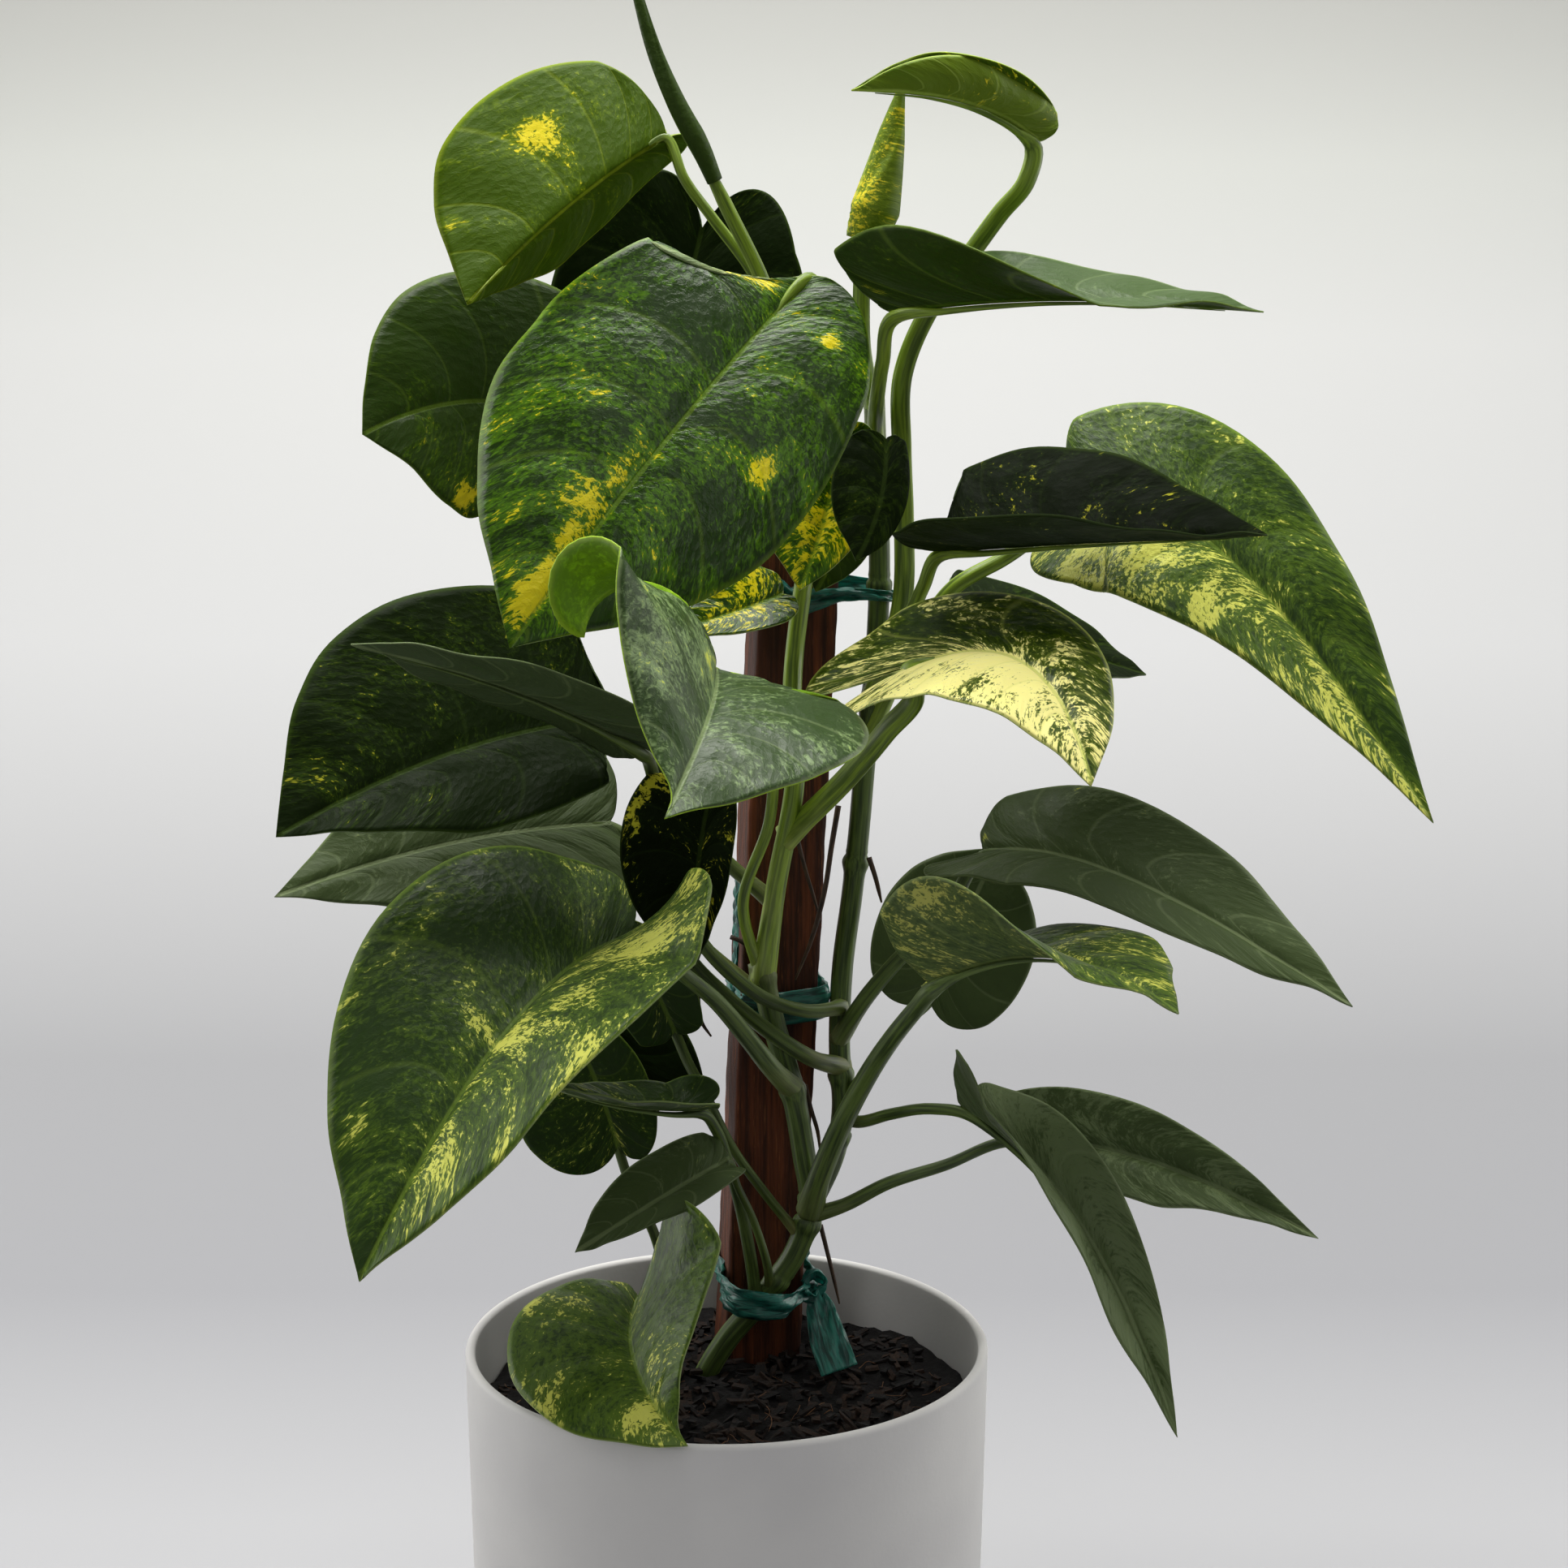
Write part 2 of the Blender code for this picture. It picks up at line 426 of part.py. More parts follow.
def add_vine(name, collection, helpers):
    """A climbing stem with the leaf stalks that are one piece with it."""
    route, start_radius, end_radius = VINES[name]
    vine = add_tube(name, route, start_radius, end_radius, collection, resolution=2)
    for stem, stalk_route, leaf_radius, stem_radius in GROWN_STALKS:
        if stem == name:
            stalk = add_tube(name + "_stalk", stalk_route, leaf_radius, stem_radius, helpers)
            combine(vine, stalk, "UNION")
    vine.data.materials.append(material(name, "stalk", 0.5))
    return vine


def add_stalk(name, collection, helpers):
    """A leaf stalk whose foot is cut to sit against its stem with a small gap."""
    route, leaf_radius, foot_radius, fits = STALKS[name]
    stalk = add_tube(name, route, leaf_radius, foot_radius, collection)
    for stem in fits:
        stem_route, first, last = VINES[stem] if stem in VINES else STALKS[stem][:3]
        cutter = add_tube(stem + "_fit", stem_route, first, last, helpers, grow=GAP,
                          resolution=2 if stem in VINES else 1)
        combine(stalk, cutter, "DIFFERENCE")
    stalk.data.materials.append(material(name, "stalk", 0.5))
    return stalk


def add_turned(name, profile, colour, roughness, collection):
    """A solid turned about Z from a profile of radius and height."""
    corners = [(radius, 0.0, height) for radius, height in profile]
    edges = [(i, i + 1) for i in range(len(profile) - 1)]
    mesh = bpy.data.meshes.new(name)
    mesh.from_pydata((np.array(corners) * MM).tolist(), edges, [])
    item = bpy.data.objects.new(name, mesh)
    collection.objects.link(item)
    add_modifier(item, "SCREW", steps=POT_STEPS, render_steps=POT_STEPS, use_merge_vertices=True,
                 merge_threshold=0.0001, use_normal_calculate=True)
    item.data.materials.append(material(name, colour, roughness))
    return item


def inner_radius(height):
    """Inside radius of the pot at a height."""
    share = (height - POT_FLOOR)/(POT_HEIGHT - POT_FLOOR)
    return POT_FOOT_RADIUS - POT_WALL + share*(POT_RIM_RADIUS - POT_FOOT_RADIUS)


def add_pot(collection):
    """A plain round pot, a little wider at the rim, with softened edges."""
    top = POT_HEIGHT
    rim = POT_RIM_RADIUS
    profile = [(0, POT_FLOOR), (inner_radius(POT_FLOOR) - POT_EDGE, POT_FLOOR),
               (inner_radius(POT_FLOOR + POT_EDGE), POT_FLOOR + POT_EDGE),
               (inner_radius(top - POT_EDGE), top - POT_EDGE),
               (rim - POT_WALL + 0.4*POT_EDGE, top - 0.3*POT_EDGE),
               (rim - 0.5*POT_WALL, top), (rim - 0.4*POT_EDGE, top - 0.3*POT_EDGE), (rim, top - POT_EDGE),
               (POT_FOOT_RADIUS, POT_EDGE), (POT_FOOT_RADIUS - POT_EDGE, 0), (0, 0)]
    return add_turned("pot", profile, "pot", 0.6, collection)


def add_stake(name, collection, grow=0.0):
    """A square stake: a box whose head is shifted sideways."""
    bpy.ops.mesh.primitive_cube_add(size=1.0)
    item = bpy.context.active_object
    item.name = name
    for owner in list(item.users_collection):
        owner.objects.unlink(item)
    collection.objects.link(item)
    turn = np.radians(STAKE_TURN)
    spin = np.array([[np.cos(turn), -np.sin(turn)], [np.sin(turn), np.cos(turn)]])
    foot, head = np.array(STAKE_FOOT), np.array(STAKE_HEAD)
    for vertex in item.data.vertices:
        corner = np.sign(np.array(vertex.co))
        end = head + (0, 0, grow) if corner[2] > 0 else foot - (0, 0, grow)
        plan = spin @ (corner[:2]*(STAKE_WIDTH/2 + grow))
        vertex.co = ((plan[0] + end[0])*MM, (plan[1] + end[1])*MM, end[2]*MM)
    item.data.materials.append(material(name, "stake", 0.8))
    return item


def add_soil(collection, helpers):
    """The soil that fills the pot, with a pocket for everything that stands in it."""
    profile = [(0, SOIL_TOP), (inner_radius(SOIL_TOP) - GAP, SOIL_TOP),
               (inner_radius(POT_FLOOR + 2*POT_EDGE) - GAP, POT_FLOOR + 2*POT_EDGE),
               (inner_radius(POT_FLOOR) - 2*POT_EDGE, POT_FLOOR + GAP), (0, POT_FLOOR + GAP)]
    soil = add_turned("soil", profile, "soil", 0.95, collection)
    combine(soil, add_stake("stake_pocket", helpers, grow=GAP), "DIFFERENCE")
    for name in TUBES_IN_SOIL:
        route, first, last = (VINES[name] if name in VINES else STALKS[name])[:3]
        pocket = add_tube(name + "_pocket", route, first, last, helpers, grow=GAP, resolution=2)
        combine(soil, pocket, "DIFFERENCE")
    return soil


def add_band(name, centre_line, half_width, collection, closed):
    """A strip of tape: a centre line widened along a direction and given its thickness."""
    line = np.asarray(centre_line, float)
    low = line - half_width
    high = line + half_width
    count = len(line)
    corners = np.concatenate([low, high])
    last = count if closed else count - 1
    faces = [(i, (i + 1) % count, (i + 1) % count + count, i + count) for i in range(last)]
    item = add_mesh(name, corners, faces, collection)
    add_modifier(item, "SOLIDIFY", thickness=TAPE_THICK*MM, offset=0.0)
    return item


def add_tie(name, collection, helpers):
    """A loop of tape round the stake and stems, with its loose tail."""
    height, plan, tail = TIES[name]
    loop = [(x, y, height) for x, y in plan]
    tie = add_band(name, loop, np.array([0, 0, TAPE_WIDTH/2]), collection, True)
    if tail:
        route, width, across = tail
        strip = add_band(name + "_tail", smooth_path(route, 6), unit(np.array(across))*width/2, helpers, False)
        combine(tie, strip, "UNION")
    tie.data.materials.append(material(name, "tape", 0.4))
    return tie


def build():
    """Model the whole plant."""
    clear_scene()
    plant = bpy.data.collections.new("potted_pothos_plant")
    helpers = bpy.data.collections.new("cutters")
    bpy.context.scene.collection.children.link(plant)
    bpy.context.scene.collection.children.link(helpers)
    add_pot(plant)
    add_soil(plant, helpers)
    add_stake("stake", plant)
    for name in VINES:
        add_vine(name, plant, helpers)
    for name in STALKS:
        add_stalk(name, plant, helpers)
    for name, spec in LEAVES.items():
        add_leaf(name, spec, plant)
    for name, (colour, route, first, last) in ROLLED.items():
        rolled = add_tube(name, route, first, last, plant, resolution=2)
        rolled.data.materials.append(material(name, colour, 0.45))
    root = add_tube("aerial_root", ROOT_ROUTE, ROOT_RADIUS, ROOT_RADIUS, plant)
    root.data.materials.append(material("aerial_root", "root", 0.8))
    for name in TIES:
        add_tie(name, plant, helpers)
    for item in helpers.objects:
        item.hide_render = True
        item.hide_viewport = False
    helpers.hide_render = True


build()
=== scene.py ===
# %% [markdown]
# # A marbled pothos on a cedar stake
# A pothos is a climbing vine. In a pot it is tied to a stake, and its heart-shaped leaves reach out on
# long stalks. This lesson dresses a measured plant: each leaf, stalk and stem gets a fine surface worked
# out with numpy, and each surface gets a finish that is worked out from what the real one is made of.

import bpy
import numpy as np
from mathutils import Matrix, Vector


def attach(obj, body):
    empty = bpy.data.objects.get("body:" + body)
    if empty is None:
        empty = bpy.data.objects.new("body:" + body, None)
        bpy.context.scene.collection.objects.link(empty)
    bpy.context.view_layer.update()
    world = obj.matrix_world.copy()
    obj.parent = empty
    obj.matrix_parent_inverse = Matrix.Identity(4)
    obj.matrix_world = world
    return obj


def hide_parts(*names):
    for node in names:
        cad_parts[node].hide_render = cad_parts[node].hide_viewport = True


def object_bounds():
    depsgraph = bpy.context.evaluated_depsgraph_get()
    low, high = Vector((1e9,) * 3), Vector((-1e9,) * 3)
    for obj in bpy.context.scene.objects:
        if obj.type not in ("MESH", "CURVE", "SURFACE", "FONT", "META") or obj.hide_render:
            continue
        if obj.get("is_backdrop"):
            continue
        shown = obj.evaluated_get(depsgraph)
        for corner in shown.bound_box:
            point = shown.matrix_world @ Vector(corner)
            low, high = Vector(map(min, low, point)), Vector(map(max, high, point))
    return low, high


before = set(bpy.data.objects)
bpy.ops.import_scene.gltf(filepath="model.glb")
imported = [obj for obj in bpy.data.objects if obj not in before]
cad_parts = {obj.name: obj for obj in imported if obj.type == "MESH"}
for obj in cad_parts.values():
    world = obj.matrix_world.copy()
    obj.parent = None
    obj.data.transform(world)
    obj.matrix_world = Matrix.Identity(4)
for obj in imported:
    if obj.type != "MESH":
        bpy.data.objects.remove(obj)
cad_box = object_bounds()
MM = 0.001
SMOOTH = {"interpolation_type": "SMOOTHSTEP"}
print("measured pieces:", len(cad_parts))


# %% [markdown]
# ## Colour and nodes
# Colours are written as the sRGB hex values that a colour chart gives, and Blender works in linear light,
# so one function turns one into the other. A second function adds a shader node with its settings and
# links. Three more start a finish, link its results to the shader and lay colours over one another.

# %% Colour and node helpers
def linear(code, alpha=1.0):
    """Linear colour of an sRGB hex code: below 0.04045 divide by 12.92, above it take the 2.4 power."""
    share = np.array([int(code[i:i + 2], 16) for i in (1, 3, 5)])/255
    light = np.where(share <= 0.04045, share/12.92, ((share + 0.055)/1.055)**2.4)
    return (*light.tolist(), alpha)


def node(tree, kind, inputs=(), out=0, **settings):
    """Output socket of a new shader node. Inputs go in order or by name: numbers, hex colours or sockets."""
    made = tree.nodes.new("ShaderNode" + kind)
    for key, value in settings.items():
        setattr(made, key, value)
    for key, value in inputs.items() if isinstance(inputs, dict) else enumerate(inputs):
        if isinstance(value, bpy.types.NodeSocket):
            tree.links.new(value, made.inputs[key])
        else:
            made.inputs[key].default_value = linear(value) if isinstance(value, str) else value
    return made.outputs[out]


def per_mm(*sizes):
    """Scale that turns coordinates in metres into counts of grains of the given sizes in mm."""
    return tuple(1000.0/size for size in sizes)


def finish(name, **shader_values):
    """A new material, its node tree and its Principled shader with fixed values on its own sockets."""
    made = bpy.data.materials.new(name)
    made.use_nodes = True
    shader = made.node_tree.nodes["Principled BSDF"]
    for key, value in shader_values.items():
        shader.inputs[key.replace("_", " ")].default_value = value
    return made, made.node_tree, shader


def wire(tree, shader, colour, height, depth_mm, dull=None):
    """Links of a colour, a roughness and a bump whose height of 0 to 1 stands for depth_mm."""
    bump = node(tree, "Bump", {"Height": height, "Strength": 1.0, "Distance": depth_mm*MM})
    for key, socket in (("Base Color", colour), ("Normal", bump), ("Roughness", dull)):
        if socket is not None:
            tree.links.new(socket, shader.inputs[key])


def layers(tree, colour, *rows):
    """Colours over a first one: each (value, low, high, most, tint) fades in between low and high."""
    for value, low, high, most, tint in rows:
        share = node(tree, "MapRange", (value, low, high, 0.0, most), **SMOOTH)
        colour = node(tree, "Mix", {0: share, 6: colour, 7: tint}, 2, data_type="RGBA")
    return colour


# %% [markdown]
# ## Putting a surface into Blender
# Every new piece is a grid of points. One function makes the faces of a grid, one those of a closed tube,
# and one puts points, faces, finishes and named marks into a mesh and hides the measured pieces it
# stands for.

# %% Mesh helpers
def grid_faces(rows, columns, closed=False):
    """Quads of a grid of rows by columns, with the last column joined to the first if closed."""
    index = np.arange(rows*columns).reshape(rows, columns)
    after = np.roll(index, -1, axis=1) if closed else index[:, 1:]
    first = index if closed else index[:, :-1]
    return np.stack([first[:-1], after[:-1], after[1:], first[1:]], -1).reshape(-1, 4)


def tube_faces(rows, sides):
    """Faces of rows of corners round a tube, with a fan at each end to one of the two last corners."""
    first = np.arange(sides)
    last = (rows - 1)*sides + first
    faces = grid_faces(rows, sides, True).tolist()
    faces += np.stack([np.roll(first, -1), first, np.full(sides, rows*sides)], -1).tolist()
    faces += np.stack([last, np.roll(last, -1), np.full(sides, rows*sides + 1)], -1).tolist()
    return faces


def add_piece(name, corners_mm, faces, finishes, stands_for=(), marks=None):
    """A smooth mesh piece in place, riding on the plant."""
    mesh = bpy.data.meshes.new(name)
    mesh.from_pydata((np.asarray(corners_mm)*MM).tolist(), [], [list(map(int, f)) for f in faces])
    mesh.polygons.foreach_set("use_smooth", np.ones(len(mesh.polygons), bool))
    for key, values in (marks or {}).items():
        values = np.asarray(values, np.float32)
        kind, field = ("FLOAT", "value") if values.ndim == 1 else ("FLOAT_VECTOR", "vector")
        mesh.attributes.new(key, kind, "POINT").data.foreach_set(field, values.ravel())
    for item in finishes:
        mesh.materials.append(item)
    mesh.update()
    piece = bpy.data.objects.new(name, mesh)
    bpy.context.scene.collection.objects.link(piece)
    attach(piece, "root")
    if stands_for:
        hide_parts(*stands_for)
    return piece


def smooth_path(points, count):
    """Evenly spaced points on a smooth curve through the given points (cubic Hermite spans)."""
    knots = np.asarray(points, float)
    chord = np.concatenate([[0.0], np.cumsum(np.linalg.norm(np.diff(knots, axis=0), axis=1))])
    slope = np.gradient(knots, chord, axis=0)
    place = np.linspace(0.0, chord[-1], count)
    first = np.clip(np.searchsorted(chord, place, side="right") - 1, 0, len(knots) - 2)
    span = (chord[first + 1] - chord[first])[:, None]
    t = (place - chord[first])[:, None]/span
    return ((2*t**3 - 3*t**2 + 1)*knots[first] + (t**3 - 2*t**2 + t)*span*slope[first]
            + (3*t**2 - 2*t**3)*knots[first + 1] + (t**3 - t**2)*span*slope[first + 1])


def unit(vectors):
    """Vectors of length one."""
    return vectors/np.maximum(np.linalg.norm(vectors, axis=-1, keepdims=True), 1e-12)


# %% [markdown]
# ## Studio
# The plant stands in a light tent: a pale sheet that runs from the floor up into the back wall in one
# bend, a broad lamp overhead, one that washes the wall, a wing at each side and weak light from the
# front. The sheet's grey tones along its run are painted light and shade. Leaves are glossy, so the
# overhead lamp draws the pale sheen that shows how each blade bends.

# %% Camera
CAMERA_PLACE = (0.0175, -0.782, 0.4661)
CAMERA_DOWN = np.radians(10.0)
CAMERA_LENS = 61.5

view = bpy.data.objects.new("camera", bpy.data.cameras.new("camera"))
view.data.lens = CAMERA_LENS
view.data.sensor_width = 36.0
view.location = CAMERA_PLACE
view.rotation_euler = (np.pi/2 - CAMERA_DOWN, 0.0, 0.0)
bpy.context.scene.collection.objects.link(view)
bpy.context.scene.camera = view
print("camera looks down", round(np.degrees(CAMERA_DOWN)), "degrees through a", CAMERA_LENS, "mm lens")

# %% Floor and back wall in one bend
SHEET_FRONT = -1500.0
SHEET_BEND = 500.0
SHEET_RADIUS = 700.0
SHEET_TOP = 1300.0
SHEET_HALF = 2200.0
SHEET_PAINTED_SHADING = (
    # distance behind the plant along the sheet in mm, tone of the paper there with its light and shade
    # painted in
    (200, "#aaaaad"), (450, "#98989c"), (730, "#9d9da0"), (900, "#b2b2b4"),
    (1100, "#c8c8c9"), (1340, "#d2d2d1"), (1470, "#cecfcb"), (1600, "#bbbbb7"),
)
SHEET_RUN = 2000.0


def add_sheet():
    """Profile: flat to the bend, a quarter circle of the bend's radius, then straight up."""
    angle = np.linspace(0, np.pi/2, 24)
    bend = np.stack([SHEET_BEND + SHEET_RADIUS*np.sin(angle), SHEET_RADIUS*(1 - np.cos(angle))], -1)
    profile = np.concatenate([[[SHEET_FRONT, 0.0]], bend, [[SHEET_BEND + SHEET_RADIUS, SHEET_TOP]]])
    across = np.array([-SHEET_HALF, SHEET_HALF])
    corners = np.stack(np.broadcast_arrays(across[None, :], profile[:, None, 0], profile[:, None, 1]), -1)
    mesh = bpy.data.meshes.new("studio_sheet")
    mesh.from_pydata((corners.reshape(-1, 3)*MM).tolist(), [], grid_faces(len(profile), 2).tolist())
    mesh.polygons.foreach_set("use_smooth", np.ones(len(mesh.polygons), bool))
    step = np.linalg.norm(np.diff(profile, axis=0), axis=1)
    run = np.concatenate([[0.0], np.cumsum(step)]) + SHEET_FRONT
    mesh.attributes.new("run", "FLOAT", "POINT").data.foreach_set("value", np.repeat(run/SHEET_RUN, 2))
    paper, tree, shader = finish("studio_paper", Roughness=0.9, Specular_IOR_Level=0.1)
    # the ramp paints light and shade on the sheet: darkest where the floor turns up into the bend, brightest
    # high in the bend
    tint = node(tree, "ValToRGB", (node(tree, "Attribute", out="Fac", attribute_name="run"),))
    stops = tint.node.color_ramp.elements
    for place, _ in SHEET_PAINTED_SHADING[2:]:
        stops.new(place/SHEET_RUN)
    for stop, (place, tone) in zip(stops, SHEET_PAINTED_SHADING):
        stop.position, stop.color = place/SHEET_RUN, linear(tone)
    tree.links.new(tint, shader.inputs["Base Color"])
    mesh.materials.append(paper)
    sheet = bpy.data.objects.new("studio_sheet", mesh)
    bpy.context.scene.collection.objects.link(sheet)
    sheet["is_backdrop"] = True


add_sheet()

# %% Lamps
LAMPS = (
    # name, place, where it points, width and depth (m), power (W), colour
    ("overhead", (-0.05, 0.10, 1.35), (0.0, 0.05, 0.20), 0.9, 0.7, 20.5, "#fffefa"),
    ("wall_wash", (0.0, 0.30, 1.60), (0.0, 1.20, 0.50), 2.2, 0.4, 4.2, "#ffffff"),
    ("left_wing", (-1.15, 0.45, 0.60), (0.0, 0.05, 0.35), 0.8, 1.1, 8.5, "#fffffb"),
    ("right_wing", (1.20, 0.40, 0.60), (0.0, 0.05, 0.35), 0.8, 1.1, 8.5, "#fffffb"),
    ("front_fill", (-0.30, -1.60, 1.30), (0.0, 0.0, 0.30), 1.0, 0.8, 3.4, "#ffffff"),
)


def add_lamp(name, place, target, width, depth, power, colour):
    """A flat rectangular lamp that faces a point."""
    lamp = bpy.data.lights.new(name, "AREA")
    lamp.shape = "RECTANGLE"
    lamp.size, lamp.size_y = width, depth
    lamp.energy = power
    lamp.color = linear(colour)[:3]
    holder = bpy.data.objects.new(name, lamp)
    holder.location = place
    holder.rotation_euler = (Vector(target) - Vector(place)).to_track_quat("-Z", "Y").to_euler()
    bpy.context.scene.collection.objects.link(holder)


for row in LAMPS:
    add_lamp(*row)
world = bpy.data.worlds.new("soft_room")
world.use_nodes = True
world.node_tree.nodes["Background"].inputs[0].default_value = linear("#f2f4f6")
world.node_tree.nodes["Background"].inputs[1].default_value = 0.20
bpy.context.scene.world = world
bpy.context.scene.view_settings.view_transform = "Standard"
print("lamps:", len(LAMPS))


# %% [markdown]
# ## Leaf blades
# A blade is a thin sheet with a heart-shaped outline. Its midrib is a curve from the foot through a middle
# point to the tip, and each half is a strip that leaves the midrib at a fold angle and may curl on towards
# its margin. Rows of the grid run from the midrib to the margin the way side veins do, so quilting, veins
# and gold streaks can all follow the rows. The alternative, a flat card with a cut-out picture, would have
# no thickness, no underside and no relief.

# %% Blade shape
SLIM_OUTLINE = ((0.0, 0.0), (-0.07, 0.10), (-0.13, 0.32), (-0.11, 0.58), (0.00, 0.83), (0.20, 0.99),
                (0.42, 0.93), (0.63, 0.68), (0.81, 0.36), (0.93, 0.12), (1.0, 0.0))
FULL_OUTLINE = ((0.0, 0.0), (-0.06, 0.10), (-0.11, 0.30), (-0.09, 0.56), (0.02, 0.81), (0.22, 0.97),
                (0.42, 0.99), (0.62, 0.88), (0.79, 0.63), (0.91, 0.29), (1.0, 0.0))
# roll fades out by this share of the midrib
ROLL_REACH = 0.45
# cup starts at this share of the midrib and is complete after this reach towards the foot
CUP_START, CUP_REACH = 0.15, 0.3
# rows crowd towards the foot by this power, and bow towards it by this share of the midrib
ROW_SPACING = 1.35
ROW_BOW = 0.30
BLADE_ROWS = 74
BLADE_COLUMNS = 15
BLADE_THICK = 0.5
SKIN_STEP = 0.03
SIDE_VEINS = 7
QUILT_HEIGHT = 0.95
MIDRIB_DEPTH = 0.8
MARGIN_WAVE = 0.9
ARC_NODES, ARC_WEIGHTS = np.polynomial.legendre.leggauss(8)


def bend_leaf(spec, along, across):
    """Carry flat leaf points into space: each half follows an arc whose length is its width.

    At share x of the width the arc has turned to fold + curl*x, and near the foot also by
    roll*x^crease, and it is summed by Gauss's rule. The fold relaxes towards the tip, and cup adds to
    it round the foot. The midrib is a quadratic curve whose normal is turned along it without twist,
    and then rolled by the leaf's twist.
    """
    base, mid, tip, face = (np.array(spec[key], float) for key in ("base", "mid", "tip", "face"))
    handle = 2*mid - (base + tip)/2
    t = np.maximum(along, 0.0)[..., None]
    behind = np.minimum(along, 0.0)[..., None]
    spine = (1-t)**2*base + 2*t*(1-t)*handle + t**2*tip + behind*2*(handle-base)
    tangent = unit(2*(1-t)*(handle-base) + 2*t*(tip-handle))
    chord = unit(tip - base)
    upright = unit(face - (face @ chord)*chord)
    turn = np.cross(chord, tangent)
    cosine = (tangent @ chord)[..., None]
    normal = upright*cosine + np.cross(turn, upright) + turn*(turn @ upright)[..., None]/(1 + cosine)
    side = np.cross(tangent, normal)
    roll = np.radians(spec["twist"])*(along - 0.5)[..., None]
    side, normal = side*np.cos(roll) - normal*np.sin(roll), normal*np.cos(roll) + side*np.sin(roll)

    left = across < 0
    share = np.abs(across)
    half = np.where(left, *spec["half"])
    kept = np.clip(1 - np.where(left, *spec["relax"])*along, 0, 1)
    fold = np.radians(np.where(left, *spec["fold"]))*kept
    fold = fold + np.radians(np.where(left, *spec["cup"]))*np.clip((CUP_START - along)/CUP_REACH, 0, 1)
    curl = np.radians(np.where(left, *spec["curl"]))
    roll_over = np.radians(np.where(left, *spec["roll"]))*np.clip(1 - along/ROLL_REACH, 0, 1)
    crease = np.where(left, *spec["crease"])[..., None]
    place = share[..., None]*(ARC_NODES + 1)/2
    angle = fold[..., None] + curl[..., None]*place + roll_over[..., None]*place**crease
    out = np.where(left, -half, half)*share*(np.cos(angle)*ARC_WEIGHTS/2).sum(-1)
    rise = half*share*(np.sin(angle)*ARC_WEIGHTS/2).sum(-1)
    return spine + side*out[..., None] + normal*rise[..., None]


def half_grid(spec, side, rows, columns):
    """Flat places of one half: share of the midrib, and share of the half width with left negative."""
    full = np.broadcast_to(spec["full"], 2)[side]
    outline = np.array(SLIM_OUTLINE)*(1 - full) + np.array(FULL_OUTLINE)*full
    edge = smooth_path(outline, rows)
    edge[0] = (0.0, 0.0)
    edge[-1] = (1.0, 0.0)
    reach = np.where(edge[:, 0] < 0, edge[:, 0]*spec["lobe"][side], edge[:, 0])
    reach = reach + spec["sweep"][side]*edge[:, 1]**2*(1 - np.maximum(edge[:, 0], 0.0))
    root = np.linspace(0, 1, rows)**ROW_SPACING
    share = np.linspace(0, 1, columns + 1)
    bow = ROW_BOW*np.sin(np.pi*root)[:, None]*share*(1 - share)
    along = root[:, None]*(1 - share) + reach[:, None]*share - bow
    across = np.maximum(edge[:, 1][:, None]*share, 1e-9)*(1 if side else -1)
    return along, across


def blade_surface(spec, seed):
    """Grid from the left margin to the right one with its relief, and what the finish needs to know.

    Relief is measured along the surface normal: quilting |sin| between side veins, a groove
    exp(-(d/w)^2) at the midrib, and slow waves that grow towards the margin.
    """
    rows, columns = BLADE_ROWS, BLADE_COLUMNS
    halves = [half_grid(spec, side, rows, columns) for side in (0, 1)]
    along = np.concatenate([halves[0][0][:, :0:-1], halves[1][0]], 1)
    across = np.concatenate([halves[0][1][:, :0:-1], halves[1][1]], 1)
    share = np.abs(np.linspace(-1, 1, 2*columns + 1))[None, :].repeat(rows, 0)
    row = np.linspace(0, 1, rows)[:, None].repeat(2*columns + 1, 1)
    place = bend_leaf(spec, along, across)
    normal = unit(np.cross(np.gradient(place, axis=1), np.gradient(place, axis=0)))
    midrib = np.array([spec["base"], spec["mid"], spec["tip"]], float)
    length = np.linalg.norm(np.diff(midrib, axis=0), axis=1).sum()
    wide = np.where(across < 0, *spec["half"])*np.abs(across)
    size = np.clip(length/100, 0.35, 1.0)
    draw = np.random.default_rng(seed)
    phase = draw.uniform(0, 2*np.pi, 6)
    veins = row*SIDE_VEINS + 0.12*np.sin(2*np.pi*row*1.7 + phase[0])
    veins = veins + np.where(across < 0, 0.35, 0.0)*np.clip(4*share, 0, 1)
    ends = np.clip(np.minimum(row, 1 - row)/0.10, 0, 1)
    quilt = QUILT_HEIGHT*size*(np.abs(np.sin(np.pi*veins))**0.7 - 0.6)
    quilt = quilt*np.sin(np.pi*np.minimum(share, 0.97))**0.7
    groove = -MIDRIB_DEPTH*size*np.exp(-(wide/1.8)**2)
    wave = np.sin(2*np.pi*row*2.3 + phase[1])
    wave = wave + 0.6*np.sin(2*np.pi*row*5.1 + phase[2] + np.sign(across)*phase[3])
    wave = MARGIN_WAVE*size*wave*share**2.2
    place = place + normal*(ends*(quilt + groove + wave))[..., None]
    return {"place": place, "normal": normal, "row": row, "share": share, "veins": veins,
            "skin": np.stack([np.sign(across)*wide, row*length, 0*row], -1),
            "across": across, "length": length}


def grid_with_tips(values):
    """Inner rows of a grid as a flat list, then one value for the foot and one for the tip."""
    middle = values.shape[1]//2
    inner = values[1:-1].reshape(-1, *values.shape[2:])
    return np.concatenate([inner, values[:1, middle], values[-1:, middle]])


def blade_faces(rows, columns):
    """Faces of a leaf grid whose first and last rows are single points, upper face outwards."""
    quads = grid_faces(rows - 2, columns).tolist()
    foot, tip = (rows - 2)*columns, (rows - 2)*columns + 1
    first = np.arange(columns - 1)
    last = (rows - 3)*columns + first
    fans = np.stack([first + 1, first, np.full(columns - 1, foot)], -1).tolist()
    fans += np.stack([last, last + 1, np.full(columns - 1, tip)], -1).tolist()
    return quads + fans


